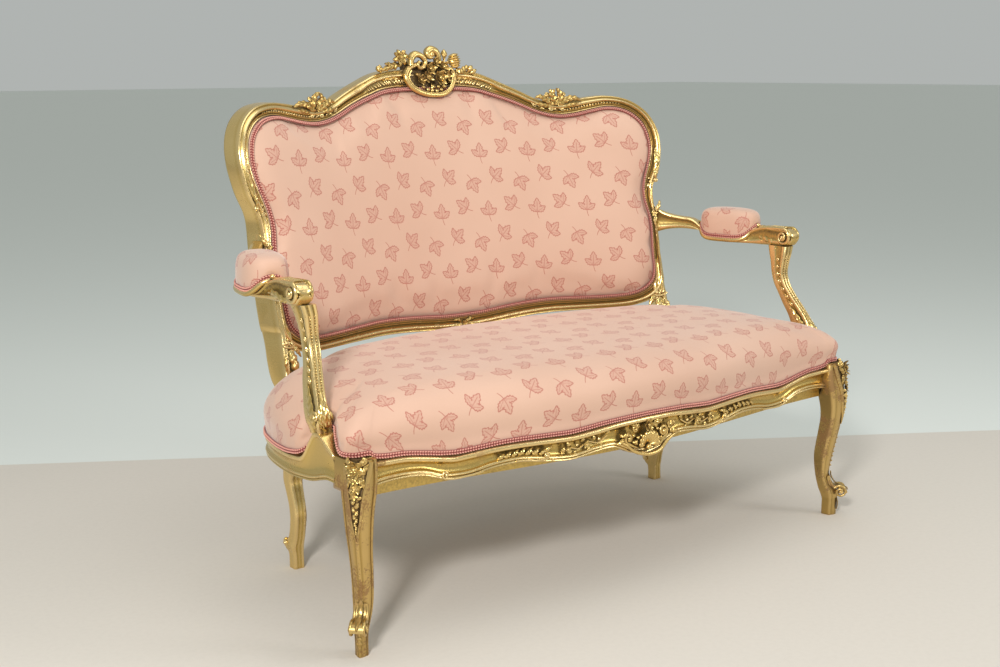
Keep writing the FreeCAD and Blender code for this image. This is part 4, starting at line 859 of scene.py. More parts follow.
@dataclass(frozen=True)
class LeafSatin:
    """Pale satin woven with rows of rose leaves, on the cloth map."""

    name: str = "leaf_satin"
    ground: Colour = (0.74, 0.48, 0.355)
    shade: Colour = (0.64, 0.385, 0.275)
    rose: Colour = (0.50, 0.17, 0.125)
    pitch: float = 66.0
    row: float = 69.0
    angles: tuple[float, float, float, float] = (50.0, -5.0, -48.0, 200.0)
    size: float = 1.12

    def lobe(self, across: Wire, along: Wire, long: float, half: float, teeth: float) -> tuple[Wire, Wire, Wire]:
        """One leaf lobe: its outline, its inside and its midrib."""
        t = (along / long).two("MAXIMUM", 0.0).two("MINIMUM", 1.0)
        width = (t * math.pi).one("SINE") * half * (1.0 + (along * (2 * math.pi / teeth)).one("SINE") * 0.16)
        off = across.one("ABSOLUTE") - width
        alive = along.over(-0.2, 0.6) * (1.0 - along.over(long - 0.4, long + 0.8))
        line = (1.0 - off.one("ABSOLUTE").over(0.6, 1.9)) * alive
        inside = (1.0 - off.over(-0.3, 0.3)) * alive
        rib = (1.0 - across.one("ABSOLUTE").over(0.4, 1.3)) * (1.0 - along.over(long * 0.72, long * 0.8)) * alive
        return line, inside, rib

    def make(self) -> bpy.types.Material:
        """Wires the finish."""
        b = Bench(self.name)
        uv = b.node("ShaderNodeUVMap", {"uv_map": CLOTH_MAP})["UV"]
        parts = b.node("ShaderNodeSeparateXYZ", None, {"Vector": uv})
        u, v = parts["X"] * 1000.0, parts["Y"] * 1000.0
        row = (v / self.row).one("FLOOR")
        odd_row = (row / 2.0).one("FRACT") * 2.0
        place = u / self.pitch + odd_row * 0.5
        column = place.one("FLOOR")
        odd_column = (column / 2.0).one("FRACT") * 2.0
        jitter = b.node("ShaderNodeTexWhiteNoise", {"noise_dimensions": "2D"},
                        {"Vector": b.node("ShaderNodeCombineXYZ", None, {"X": column, "Y": row})[0]})["Value"]
        x = (place - column - 0.5) * self.pitch
        y = (v / self.row - row - 0.5) * self.row + (odd_column - 0.5) * 15.0
        a = [math.radians(value) for value in self.angles]
        even = a[0] + odd_column * (a[1] - a[0])
        odd = a[2] + odd_column * (a[3] - a[2])
        angle = even + odd_row * (odd - even) + (jitter - 0.5) * 0.12
        c, s = angle.one("COSINE"), angle.one("SINE")
        p = (x * c + y * s) / self.size
        q = (y * c - x * s) / self.size + 7.0
        aside = (p + q * 0.06).one("ABSOLUTE")
        line, inside, rib = self.lobe(p, q, 30.0, 7.4, 6.4)
        turn = math.radians(56.0)
        side_along = aside * math.sin(turn) + q * math.cos(turn)
        side_across = aside * math.cos(turn) - q * math.sin(turn)
        side_line, side_inside, side_rib = self.lobe(side_across, side_along, 24.0, 5.6, 5.4)
        stem_run = (q + 15.0).over(0.0, 1.0) * (1.0 - q.over(0.0, 1.0))
        stem = (1.0 - (p - q * q * 0.018).one("ABSOLUTE").over(0.45, 1.1)) * stem_run
        lines = (line * (1.0 - side_inside)).two("MAXIMUM", side_line * (1.0 - inside))
        lines = lines.two("MAXIMUM", rib * 0.85).two("MAXIMUM", side_rib * 0.7).two("MAXIMUM", stem)
        body = inside.two("MAXIMUM", side_inside)
        where = b.place()
        broken = b.noise(where, 620.0, 2.0).over(0.28, 0.55)
        slub = b.node("ShaderNodeTexNoise", None, {"Vector": b.node("ShaderNodeMapping", None, {
            "Vector": uv, "Scale": (260.0, 2400.0, 1.0)})[0], "Scale": 1.0, "Detail": 2.0})["Fac"]
        tint = b.noise(where, 3.2, 2.0)
        ground = b.blend((tint - 0.32) * 1.6, self.ground, self.shade)
        ground = b.blend((slub - 0.5) * 0.55 + 0.1, ground, self.shade)
        mark = (lines * (0.58 + broken * 0.42)).two("MAXIMUM", body * (0.08 + broken * 0.20))
        colour = b.blend(mark, ground, self.rose)
        weave = ((u * (2 * math.pi / 0.9)).one("SINE") * (v * (2 * math.pi / 1.1)).one("SINE"))
        height = weave * 0.25 + slub * 0.5 + lines * 0.5
        return b.finish(Base_Color=colour, Roughness=0.62 - lines * 0.1 + (slub - 0.5) * 0.2, Sheen_Weight=0.35,
                        Sheen_Roughness=0.45, Specular_IOR_Level=0.35, Normal=b.bump(height, 0.25, 0.0005))


@dataclass(frozen=True)
class Thread:
    """Braid, webbing, twine or hessian: darker between its threads; the tone adds painted shade low on the braid and a
    painted highlight on its knots.
    """

    name: str
    low: Colour
    high: Colour
    rib: float = 1.6
    roughness: float = 0.85
    cross: bool = True

    def make(self) -> bpy.types.Material:
        """Wires the finish."""
        b = Bench(self.name)
        where = b.place()
        parts = b.node("ShaderNodeSeparateXYZ", None, {"Vector": where})
        turn = 2 * math.pi * 1000.0 / self.rib
        weave = (parts["X"] * turn).one("SINE")
        weave = weave * (parts["Y"] * turn + parts["Z"] * turn).one("SINE") if self.cross else weave
        noise = b.noise(where, 420.0, 3.0)
        # The tone paints shade low on the braid and a highlight on its knots' tops; the weave and noise are the
        # threads' own.
        share = b.tone() * 0.9 + weave * 0.12 + (noise - 0.5) * 0.5
        return b.finish(Base_Color=b.blend(share.over(0.0, 1.0), self.low, self.high), Roughness=self.roughness,
                        Sheen_Weight=0.25, Sheen_Roughness=0.5,
                        Normal=b.bump(weave * 0.5 + noise, 0.35, 0.0005))


@dataclass(frozen=True)
class Timber:
    """Bare wood with a grain along X."""

    name: str
    light: Colour = (0.40, 0.235, 0.115)
    dark: Colour = (0.20, 0.105, 0.048)

    def make(self) -> bpy.types.Material:
        """Wires the finish."""
        b = Bench(self.name)
        where = b.place()
        long = b.node("ShaderNodeMapping", None, {"Vector": where, "Scale": (9.0, 130.0, 130.0)})[0]
        grain, stain = b.noise(long, 1.0, 5.0, 0.65), b.noise(where, 9.0, 3.0)
        colour = b.blend(grain.over(0.35, 0.65), self.light, self.dark)
        colour = b.blend(stain.over(0.5, 0.75) * 0.5, colour, (0.10, 0.055, 0.03))
        return b.finish(Base_Color=colour, Roughness=0.62 + (grain - 0.5) * 0.25, Normal=b.bump(grain, 0.2, 0.001))


@dataclass(frozen=True)
class Steel:
    """Dull coppered wire or a screw."""

    name: str
    colour: Colour = (0.42, 0.30, 0.22)

    def make(self) -> bpy.types.Material:
        """Wires the finish."""
        b = Bench(self.name)
        spots = b.noise(b.place(), 160.0, 4.0)
        colour = b.blend(spots.over(0.5, 0.7), self.colour, (0.16, 0.085, 0.045))
        return b.finish(Base_Color=colour, Metallic=0.9 - spots.over(0.5, 0.7) * 0.5, Roughness=0.38 + spots * 0.3)


class Finish(Enum):
    """The settee's finishes."""

    FRAME = Gilding("gilded_frame_finish", wear=0.45)
    LEGS = Gilding("gilded_leg_finish", bright=(0.70, 0.49, 0.19), middle=(0.45, 0.295, 0.09), wear=0.66,
                   worn_from=0.52, roughness=0.36)
    CARVING = Gilding("gilded_carving_finish", bright=(0.84, 0.60, 0.23), middle=(0.50, 0.32, 0.09), wear=0.4,
                      grime_and_shade=0.95, roughness=0.28)
    SATIN = LeafSatin()
    # The low colour is painted shade on the band and knot feet and the weave's dark threads; the high one a painted
    # highlight on the knot tops.
    BRAID = Thread("rose_braid", (0.26, 0.035, 0.03), (0.84, 0.40, 0.31), 1.4, 0.75)
    WEB = Thread("jute_web", (0.20, 0.13, 0.07), (0.50, 0.37, 0.22), 2.2, 0.9)
    HESSIAN = Thread("hessian_weave", (0.24, 0.17, 0.10), (0.55, 0.43, 0.28), 1.8, 0.9)
    TWINE = Thread("laid_twine", (0.30, 0.22, 0.12), (0.60, 0.47, 0.28), 1.2, 0.85, False)
    BEECH = Timber("bare_beech")
    WIRE = Steel("coppered_wire")
    SCREW = Steel("screw_steel", (0.50, 0.49, 0.47))

    def material(self) -> bpy.types.Material:
        """The finish as a material, made once."""
        return bpy.data.materials.get(self.value.name) or self.value.make()


# The gilded frame
def pearl(radius: float) -> Skin:
    """A pearl about its own origin."""
    shape = Skin()
    shape.ball(0, 0, radius * 0.25, radius, flat, 8)
    return shape


@dataclass
class Workshop:
    """What every sub-assembly needs to make its pieces."""

    shift: float
    made: list[bpy.types.Object] = field(default_factory=list)

    def skin(self) -> Skin:
        """An empty skin in the maker's frame."""
        return Skin(self.shift)

    def pearls(self, skin: Skin, path: Sequence[Spot], surface: Surface, radius: float, spacing: float,
               size: Callable[[float], float] = lambda t: 1.0, shape: Optional[Skin] = None) -> None:
        """Sets pearls, or another shape, along a path and takes them into a skin."""
        line = flow(path, max(2, 60 // len(path)))
        mesh = ALONG.run(on_surface(line, surface, size), shape or pearl(radius), spacing,
                         Finish.CARVING.material(), self.shift)
        skin.absorb(mesh)

    def piece(self, skin: Skin, name: str, finish: Finish, slot: str, nodes: Sequence[str],
              with_map: bool = False, sharp: float = 50.0) -> bpy.types.Object:
        """Builds a piece, sets it on its body and hides the nodes that it replaces.

        Args:
            skin: Its points and faces.
            name: Its name.
            finish: Its finish.
            slot: The record's material slot; not used.
            nodes: The nodes that it replaces.
            with_map: Whether it carries the cloth map.
            sharp: Edges that turn by more degrees than this stay sharp.

        Returns:
            The object.
        """
        made = skin.build(name, finish.material(), with_map, sharp)
        self.enter(made, slot, nodes)
        return made

    def enter(self, made: bpy.types.Object, slot: str, nodes: Sequence[str]) -> None:
        """Sets a finished object on its body and reports it."""
        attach(made, BODY)
        if nodes:
            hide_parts(*nodes)
        self.made.append(made)
        LOG.info("%s: %d faces", made.name, len(made.data.polygons))

    def pair(self, skin: Skin, name: str, finish: Finish, slot: str, nodes: Sequence[str], with_map: bool = False,
             sharp: float = 50.0) -> list[bpy.types.Object]:
        """Builds a right-hand piece and its reflection; node and piece names end in the side's name."""
        return [self.piece(part, f"{name}_{side}", finish, slot, [f"{node}_{side}" for node in nodes], with_map, sharp)
                for part, side in ((skin, "right"), (skin.reflected(), "left"))]


@dataclass
class BackFrame:
    """The moulded frame of the back: crest rail, uprights with the rear legs, and bottom rail."""

    shop: Workshop
    steps: int = 6
    depth: float = 34.0
    shoulder_depth: float = 38.0
    stile_depth: float = 50.0
    # across the width from the opening's edge, behind the reference face, tone
    profile: tuple[Row, ...] = (
        (0.0, 6, 0.1), (0.0, 0.5, 0.3), (0.025, -2.8, 0.8), (0.06, -4.4, 1.0), (0.10, -4.0, 0.9), (0.135, -1.4, 0.15),
        (0.17, -1.2, 0.2), (0.20, -3.4, 0.8), (0.24, -4.6, 1.0), (0.28, -3.2, 0.6), (0.31, -0.4, 0.05),
        (0.36, 0.6, 0.05), (0.41, -0.8, 0.3), (0.46, -4.2, 0.7), (0.52, -7.0, 0.95), (0.59, -8.6, 1.0),
        (0.66, -8.4, 1.0), (0.73, -6.4, 0.85), (0.78, -3.6, 0.4), (0.82, -2.2, 0.15), (0.86, -2.4, 0.3),
        (0.91, -3.4, 0.7), (0.96, -3.0, 0.9), (1.0, -0.8, 0.95),
    )
    carved_profile: tuple[Row, ...] = (
        (0.0, 6, 0.1), (0.0, 0.5, 0.4), (0.02, -3.0, 0.9), (0.05, -4.8, 1.0), (0.085, -4.4, 0.9), (0.115, -1.2, 0.1),
        (0.15, -0.6, 0.05), (0.20, -0.8, 0.1), (0.26, -1.2, 0.15), (0.32, -1.4, 0.15), (0.38, -1.4, 0.15),
        (0.44, -1.2, 0.15), (0.49, -1.0, 0.1), (0.53, -1.4, 0.1), (0.57, -4.4, 0.6), (0.62, -7.2, 0.95),
        (0.68, -8.2, 1.0), (0.74, -7.4, 0.9), (0.79, -4.4, 0.5), (0.83, -2.8, 0.2), (0.87, -3.0, 0.3),
        (0.91, -4.2, 0.8), (0.96, -3.6, 0.9), (1.0, -1.0, 0.9),
    )

    def __post_init__(self) -> None:
        self.rows = flow(OPENING, self.steps)

    def edge(self, i: int) -> tuple[tuple[float, float], tuple[float, float]]:
        """The inner and outer edge at a fine row."""
        x, z, width = self.rows[i]
        last = len(self.rows) - 1
        if i in (0, last):
            return (x, z), (x, z + (width if i == 0 else -width))
        (xa, za, _), (xb, zb, _) = self.rows[i - 1], self.rows[i + 1]
        length = math.hypot(xb - xa, zb - za)
        return (x, z), (x - (zb - za) / length * width, z + (xb - xa) / length * width)

    def depth_at(self, k: float) -> float:
        """The frame's depth at a row of the table."""
        if k > 32:
            return self.depth
        grown, low = min(max((k - 10) / 6, 0), 1), min(max((k - 20) / 8, 0), 1)
        return self.depth + (self.shoulder_depth - self.depth) * grown + (self.stile_depth - self.shoulder_depth) * low

    def carved(self, k: float) -> float:
        """How far the profile makes room for carving at a row of the table."""
        return min(max((k - 0.2) / 0.5, 0), 1) * min(max((4.4 - k) / 0.5, 0), 1)

    def station(self, i: int) -> tuple[list[Vector], list[float]]:
        """The moulded section at a fine row and its tones."""
        inner, outer = self.edge(i)
        k = i / self.steps
        depth, share = self.depth_at(k), self.carved(k)
        slim = min(1.0, self.rows[i][2] / 21.0)
        start, end = back_place(*inner, 0.0, 0.0), back_place(*outer, 0.0, 0.0)
        square = back_place(*inner, 1.0) - start
        ring, tones = [], []
        for plain, cut in zip(self.profile, self.carved_profile):
            across, back, tone = (lerp(a, b, share) for a, b in zip(plain, cut))
            ring.append(start + (end - start) * across + square * (back * lerp(0.55, 1.0, slim) if back < 0 else back))
            tones.append(tone)
        for across, back, tone in ((1.0, 4.0, 0.8), (0.985, 9.0, 0.55), (1.0, 14.0, 0.7), (1.0, depth - 6, 0.7),
                                   (0.97, depth - 1.5, 0.6), (0.90, depth, 0.5), (0.08, depth, 0.4),
                                   (0.0, depth - 2, 0.4)):
            ring.append(start + (end - start) * across + square * back)
            tones.append(tone)
        return ring, tones

    def run(self, first: int, last: int) -> tuple[list[list[Vector]], list[list[float]]]:
        """Stations between two fine rows."""
        found = [self.station(i) for i in range(first, last + 1)]
        return [f[0] for f in found], [f[1] for f in found]

    def at(self, k: float, across: float, h: float) -> Spot:
        """A place on the face of the frame: (x, z, h before the reference face)."""
        i = min(int(round(k * self.steps)), len(self.rows) - 1)
        (x, z), (u, w) = self.edge(i)
        return lerp(x, u, across), lerp(z, w, across), h

    def line(self, first: float, last: float, across: float, h: float, count: int = 12) -> list[Spot]:
        """Places along the frame's face."""
        return [self.at(lerp(first, last, i / count), across, h) for i in range(count + 1)]

    def crest(self) -> None:
        """The crest rail with its gadroons, pearls and leaves."""
        on = back_relief
        rings, tones = self.run(0, CREST_JOINT * self.steps)
        left = [[Vector((-p.x, p.y, p.z)) for p in ring] for ring in reversed(rings[1:])]
        skin = self.shop.skin()
        skin.rings(left + rings, list(reversed(tones[1:])) + tones)
        half = self.shop.skin()
        for i in range(13):
            k = 1.28 + i * 0.215
            foot, head = self.at(k, 0.17, 1.8), self.at(k + 0.22, 0.47, 2.4)
            size = 3.4 * (1.0 - 0.35 * i / 12)
            half.lobe(head, foot, size, on, 1.15, 0.72, 8, 6)
        half.volute(self.at(1.15, 0.34, 0)[:2], 6.5, 1.3, 200, 1.9, on, 2.2, 1)
        half.leaf([self.at(1.15, 0.45, 2), self.at(1.9, 0.52, 3), self.at(2.7, 0.50, 2.5)], 4.0, on, 4, 2.2)
        self.shop.pearls(half, self.line(9.3, 12.9, 0.345, 1.2), on, 3.0, 7.4,
                         lambda t: 1.0 - 0.35 * abs(2 * t - 0.8))
        for k in (6.9, 7.3, 7.7, 8.1, 8.5, 8.9):
            a, b = self.at(k, 0.52, 4.5), self.at(k + 0.35, 0.28, 1.5)
            half.lobe(b, a, 3.0, on, 1.0, 0.65, 7, 6)
        for k, r, hand in ((7.15, 6.5, 1), (8.35, 7.0, -1), (9.15, 5.5, 1)):
            half.volute(self.at(k, 0.42, 0)[:2], r, 1.2, 90, 2.1, on, 3.2, hand)
        half.flower(*self.at(7.75, 0.45, 4.5), 7.5, on, 5, 20)
        half.leaf([self.at(18.2, 0.55, 5), self.at(19.2, 0.58, 8), self.at(20.6, 0.72, 7)], 7.5, on, 4, 3.0)
        skin.merged(half)
        skin.merged(half.reflected())
        self.shop.piece(skin, "crest_moulding", Finish.FRAME, "gilded_frame", ["crest_rail"])

    def upright(self) -> None:
        """The uprights: the frame's sides, the stiles below them and the rear legs."""
        skin = self.shop.skin()
        rings, tones = self.run(CREST_JOINT * self.steps, CORNER_JOINT * self.steps)
        skin.rings(rings, tones)
        stile: list[Row] = []
        for z, x0, x1, front, back, turned in UPRIGHT_FOOT:
            a, b = back_place(x0, z, front, turned), back_place(x0, z, back, turned)
            c, d = back_place(x1, z, front, turned), back_place(x1, z, back, turned)
            stile.append((a.x, a.y, b.x, b.y, c.x, c.y, d.x, d.y, z))
        for z, x0, x1, y0, y1 in REAR_LEG:
            stile.append((x0, y0, x0, y1, x1, y0, x1, y1, z))
        loops, loop_tones = [], []
        for row in flow(stile, 5):
            inner_front, inner_back, outer_front, outer_back = (Vector((row[i], row[i + 1], row[8]))
                                                                for i in (0, 2, 4, 6))
            loop, marks = [], []
            for across, along, tone in self.stile_outline():
                loop.append(mix(mix(inner_front, outer_front, across), mix(inner_back, outer_back, across), along))
                marks.append(tone)
            loops.append(loop)
            loop_tones.append(marks)
        skin.rings(loops, loop_tones)
        self.stile_carving(skin)
        self.shop.pair(skin, "gilded_upright", Finish.FRAME, "gilded_frame", ["rear_upright"])

    @staticmethod
    def stile_outline() -> list[Row]:
        """A stile's level section: across from inside to outside, along from front to back, tone."""
        front = [(0.10, 0.0, 0.9), (0.22, -0.03, 1.0), (0.30, 0.02, 0.3), (0.40, 0.03, 0.4), (0.50, 0.0, 0.7),
                 (0.60, 0.03, 0.4), (0.70, 0.02, 0.3), (0.78, -0.03, 1.0), (0.90, 0.0, 0.9)]
        outer = [(0.98, 0.05, 0.8), (1.0, 0.12, 0.75), (0.985, 0.30, 0.6), (0.985, 0.70, 0.6), (1.0, 0.88, 0.7),
                 (0.97, 0.96, 0.7), (0.90, 1.0, 0.6)]
        inner = [(0.10, 1.0, 0.5), (0.03, 0.96, 0.5), (0.0, 0.88, 0.6), (0.0, 0.12, 0.7), (0.02, 0.05, 0.8)]
        return front + outer + inner

    def stile_carving(self, skin: Skin) -> None:
        """The leaf at the cusp, the trail by the arm, the collar and the bracket of leaves over the seat."""
        on = back_relief
        skin.leaf([self.at(20.05, 0.62, 7), self.at(20.7, 0.75, 8), self.at(21.35, 0.95, 6)], 7.0, on, 3, 3.0)
        skin.volute(self.at(21.45, 0.98, 0)[:2], 6.0, 1.35, 120, 2.6, on, 3.0, -1)
        skin.ball(*self.at(21.9, 0.55, 5.5), 4.2, on)
        skin.ball(*self.at(21.5, 0.34, 4.0), 3.0, on)
        skin.husk(*self.at(22.0, 0.5, 5.0), 15, 6, -96, on)
        for k, r in ((24.7, 2.6), (25.0, 3.1), (25.3, 3.6)):
            skin.ball(*self.at(k, 0.66, 4.0), r, on)
        skin.flower(537, 671, 6.5, 8.0, on, 5, 12)
        skin.volute((545, 684), 5.5, 1.2, 200, 1.9, on, 4.0, 1)
        skin.leaf([(540, 664, 5), (537, 652, 6), (536, 640, 4)], 5.5, on, 3, 2.4)
        skin.leaf([(543, 676, 5), (551, 690, 6), (556, 703, 4)], 5.0, on, 3, 2.4)
        for i in range(6):
            skin.ball(*self.at(27.0 + 0.42 * i, 0.62, 4.2), 3.2 - 0.3 * i, on, 8)
        for x, z in ((516.0, 479.0), (531.0, 482.0)):
            skin.volute((x, z), 6.5, 1.3, 40 if x < 520 else 140, 2.6, on, 6.0, -1 if x < 520 else 1)
        skin.tube([(507, 474, 6), (514, 471, 8), (523, 472, 9), (532, 474, 8), (539, 478, 5)], [2.4] * 5, on, 8)
        skin.leaf([(521, 469, 5), (519, 445, 9), (513, 420, 8), (508, 402, 11)], 13.0, on, 5, 5.0, 4.0)
        skin.leaf([(530, 466, 4), (537, 446, 5), (538, 424, 4)], 7.0, on, 4, 3.0)
        skin.volute((506, 404), 7.5, 1.4, 80, 3.0, on, 8.0, 1)
        skin.leaf([(511, 474, 5), (501, 462, 6), (492, 448, 4)], 7.0, on, 4, 3.0, 2.0)
        heel = lambda u, v, h: Vector((516.0 + h, u, v))
        for side in (-1, 1):
            cheek = lambda u, v, h, s=side: Vector((516.0 + s * (12.5 + h), u, v))
            skin.volute((477.0, 52.0), 8.5, 1.4, 100, 3.2, cheek, 0.0, -1)
        skin.tube([(477.0, 52.0, -13.0), (477.0, 52.0, 13.0)], [8.0, 8.0], heel, 12)

    def bottom(self) -> None:
        """The bottom rail of the back."""
        rings, tones = self.run(CORNER_JOINT * self.steps, len(self.rows) - 1)
        left = [[Vector((-p.x, p.y, p.z)) for p in ring] for ring in reversed(rings[:-1])]
        skin = self.shop.skin()
        skin.rings(rings + left, tones + list(reversed(tones[:-1])))
        self.shop.piece(skin, "back_bottom_moulding", Finish.FRAME, "gilded_frame", ["back_bottom_rail"])

    def carvings(self) -> None:
        """The flower on the bottom rail, the sprays on the shoulders and the crest's cartouche."""
        on = back_relief
        flower = self.shop.skin()
        flower.flower(0, 444, 7, 12, on, 6, 10)
        for side in (-1, 1):
            flower.leaf([(side * 9, 445, 5), (side * 26, 440, 8), (side * 47, 446, 5)], 7.5, on, 5, 3.2, 1.5)
            flower.leaf([(side * 8, 449, 5), (side * 18, 456, 6), (side * 31, 455, 4)], 4.5, on, 3, 2.5)
            flower.volute((side * 24, 433), 5.0, 1.3, 90, 1.9, on, 3.5, side)
            flower.ball(side * 15, 434, 6, 3.0, on)
        self.shop.piece(flower, "bottom_rail_flower", Finish.CARVING, "gilded_carving", ["back_rail_flower"])
        spray = self.shop.skin()
        spray.leaf([(336, 938, 6), (330, 954, 10), (326, 967, 14), (333, 975, 17)], 11, on, 4, 5, 3)
        spray.leaf([(342, 938, 6), (347, 955, 10), (344, 970, 14), (336, 978, 18)], 10, on, 4, 5, 3)
        spray.leaf([(345, 938, 6), (366, 952, 9), (386, 954, 8), (402, 948, 5)], 8.5, on, 5, 4, 1)
        spray.leaf([(356, 934, 6), (377, 939, 8), (398, 941, 5)], 5.0, on, 4, 3, 1)
        spray.leaf([(330, 938, 6), (312, 950, 9), (296, 958, 9), (283, 956, 7)], 8.5, on, 5, 4, 2)
        spray.leaf([(322, 936, 6), (300, 939, 8), (277, 944, 5)], 6.0, on, 4, 3, 1)
        spray.volute((314, 962), 7.0, 1.4, 250, 2.8, on, 9, 1, lead=[(322, 938, 6), (324, 950, 9)])
        spray.volute((357, 963), 6.5, 1.3, 290, 2.6, on, 9, -1, lead=[(348, 938, 6), (347, 950, 9)])
        spray.ball(324, 972, 13, 4.6, on)
        spray.flower(337, 944, 12, 8, on, 5)
        self.shop.pair(spray, "shoulder_leaves", Finish.CARVING, "gilded_carving", ["shoulder_spray"])
        self.shop.piece(self.cartouche(), "crest_carving", Finish.CARVING, "gilded_carving", ["crest_cartouche"])

    def cartouche(self) -> Skin:
        """The pierced carving on the crest: an open scroll that holds a bunch of flowers."""
        s, on = self.shop.skin(), back_relief
        scroll = flow([(-34, 1036, 16, 5.0), (-57, 1026, 13, 6.0), (-67, 1009, 12, 6.5), (-59, 990, 13, 7.0),
                       (-43, 978, 15, 7.0), (-20, 970, 16, 6.5), (8, 967, 16, 6.0), (37, 970, 15, 5.5),
                       (58, 984, 13, 5.5), (68, 1002, 13, 5.0), (69, 1018, 14, 4.5), (60, 1027, 15, 4.0),
                       (51, 1022, 16, 3.2)], 6)
        s.stem(scroll, on, 10, 1.15, tone=(0.1, 1.0))
        lip = [(x * 0.90, 1000 + (z - 1000) * 0.88, h + 4.5) for x, z, h, _ in scroll[6:-10]]
        s.tube(lip, [1.8] * len(lip), on, 6)
        curl = flow([(-50, 1034, 14, 7.5), (-47, 1049, 15, 8.0), (-34, 1059, 17, 8.0), (-19, 1055, 19, 7.0),
                     (-10, 1043, 19, 6.0), (-16, 1031, 18, 5.0), (-27, 1028, 18, 4.5), (-33, 1036, 20, 4.0),
                     (-27, 1043, 22, 3.6)], 6)
        s.stem(curl, on, 10, 1.3, tone=(0.1, 1.0))
        for i in range(7):
            a = curl[4 + 3 * i]
            s.ball(a[0] * 1.06, a[1] + 2.5, a[2] + 7, 2.4, on, 8)
        for i, turn in enumerate((200, 150, 105, 60, 15, 250, 300)):
            c, d = math.cos(math.radians(turn)), math.sin(math.radians(turn))
            s.leaf([(-77 + 3 * c, 1052 + 3 * d, 13), (-77 + 13 * c, 1052 + 11 * d, 19),
                    (-77 + 24 * c, 1052 + 18 * d, 14 + i % 2 * 6)],
                   9.0, on, 3, 4.0, 3)
        s.flower(-78, 1052, 20, 12, on, 6, 15, 0.5)
        s.leaf([(-70, 1036, 8), (-96, 1034, 12), (-118, 1027, 9), (-134, 1022, 6)], 8.5, on, 5, 4, 2)
        s.leaf([(-86, 1026, 6), (-108, 1036, 11), (-124, 1038, 12)], 6.5, on, 4, 3.5, 3)
        s.lobe((-128, 1018, 4), (-144, 1032, 10), 7.5, on, 1.0, 0.65)
        s.lobe((-130, 1016, 4), (-136, 1036, 10), 5.5, on, 1.0, 0.65)
        plume = flow([(22, 1030, 12, 5.0), (31, 1042, 14, 6.0), (31, 1055, 16, 7.5), (23, 1067, 17, 9.0),
                      (10, 1070, 17, 8.5), (0, 1062, 17, 7.5), (3, 1053, 18, 6.0), (12, 1053, 20, 5.0)], 6)
        s.stem(plume, on, 10, 1.2, tone=(0.15, 1.0))
        s.ball(11, 1059, 21, 7.5, on)
        s.tube([(40, 1030, 11), (45, 1040, 13), (50, 1050, 14)], [2.6, 2.4, 2.8], on, 6)
        s.lobe((49, 1048, 13), (51, 1071, 16), 7.5, on, 1.1, 0.55, 10, 8)
        s.leaf([(47, 1046, 15), (45, 1056, 20), (46, 1066, 19)], 4.5, on, 2, 2.5)
        for i in range(6):
            z = 1031 + 5.2 * i
            wide = 19 - 1.6 * abs(i - 2.2) ** 1.2
            s.lobe((66 - 0.25 * wide, z - 3, 11), (77 + wide * 0.95, z + 3, 15), 4.2, on, 1.9, 0.55, 8, 8)
        s.ball(77, 1043, 6, 13, on, 12)
        s.leaf([(80, 1024, 9), (92, 1020, 13), (106, 1024, 9)], 8, on, 4, 4, 2)
        s.leaf([(78, 1012, 6), (96, 1021, 10), (112, 1029, 8), (124, 1026, 6)], 7.5, on, 5, 4, 2)
        s.lobe((112, 1017, 4), (127, 1033, 10), 7.0, on, 1.0, 0.65)
        s.lobe((118, 1014, 4), (138, 1024, 8), 5.5, on, 1.0, 0.65)
        for x, z, h, r, petals in ((22, 1006, 24, 18, 6), (2, 1027, 19, 15, 5), (40, 1031, 20, 15, 5),
                                   (22, 1043, 18, 12, 5),
                                   (-9, 1008, 17, 14, 5), (47, 1010, 18, 13, 5), (-26, 1002, 14, 12, 5)):
            s.flower(x, z, h, r, on, petals, x * 3.0, 0.55)
            s.flower(x, z, h + 3, r * 0.58, on, petals, x * 3.0 + 36, 0.9)
        for x, z, turn in ((-24, 1008, 150), (-12, 1000, 200), (52, 1000, -20), (30, 994, -60), (8, 992, -120),
                           (12, 1054, 100)):
            c, d = math.cos(math.radians(turn)), math.sin(math.radians(turn))
            s.leaf([(x, z, 10), (x + 8 * c, z + 8 * d, 15), (x + 17 * c, z + 17 * d, 11)], 6.5, on, 3, 3.5, 1)
        for x, z, r in ((-11, 979, 5.0), (1, 977, 5.4), (14, 976, 5.6), (27, 979, 5.2), (38, 986, 4.6), (-22, 985, 4.4),
                        (7, 986, 4.8), (20, 986, 4.6)):
            s.ball(x, z, 15, r, on)
        # A sheet behind the scrolls at the lowest tone: painted shade seen through the piercing.
        back = flow([(-60, 1000, 2), (-20, 985, 2), (30, 985, 2), (62, 1002, 2), (58, 1028, 3), (20, 1042, 4),
                     (-30, 1040, 4), (-64, 1040, 3)], 3, True)
        front = [on(x * 0.99, z, h + 5) for x, z, h in back]
        s.rings([front, [on(x, z, -6) for x, z, _ in back]], [[0.05] * len(back)] * 2)
        return s

    def make(self) -> None:
        """Makes every piece of the back's frame."""
        self.crest()
        self.upright()
        self.bottom()
        self.carvings()


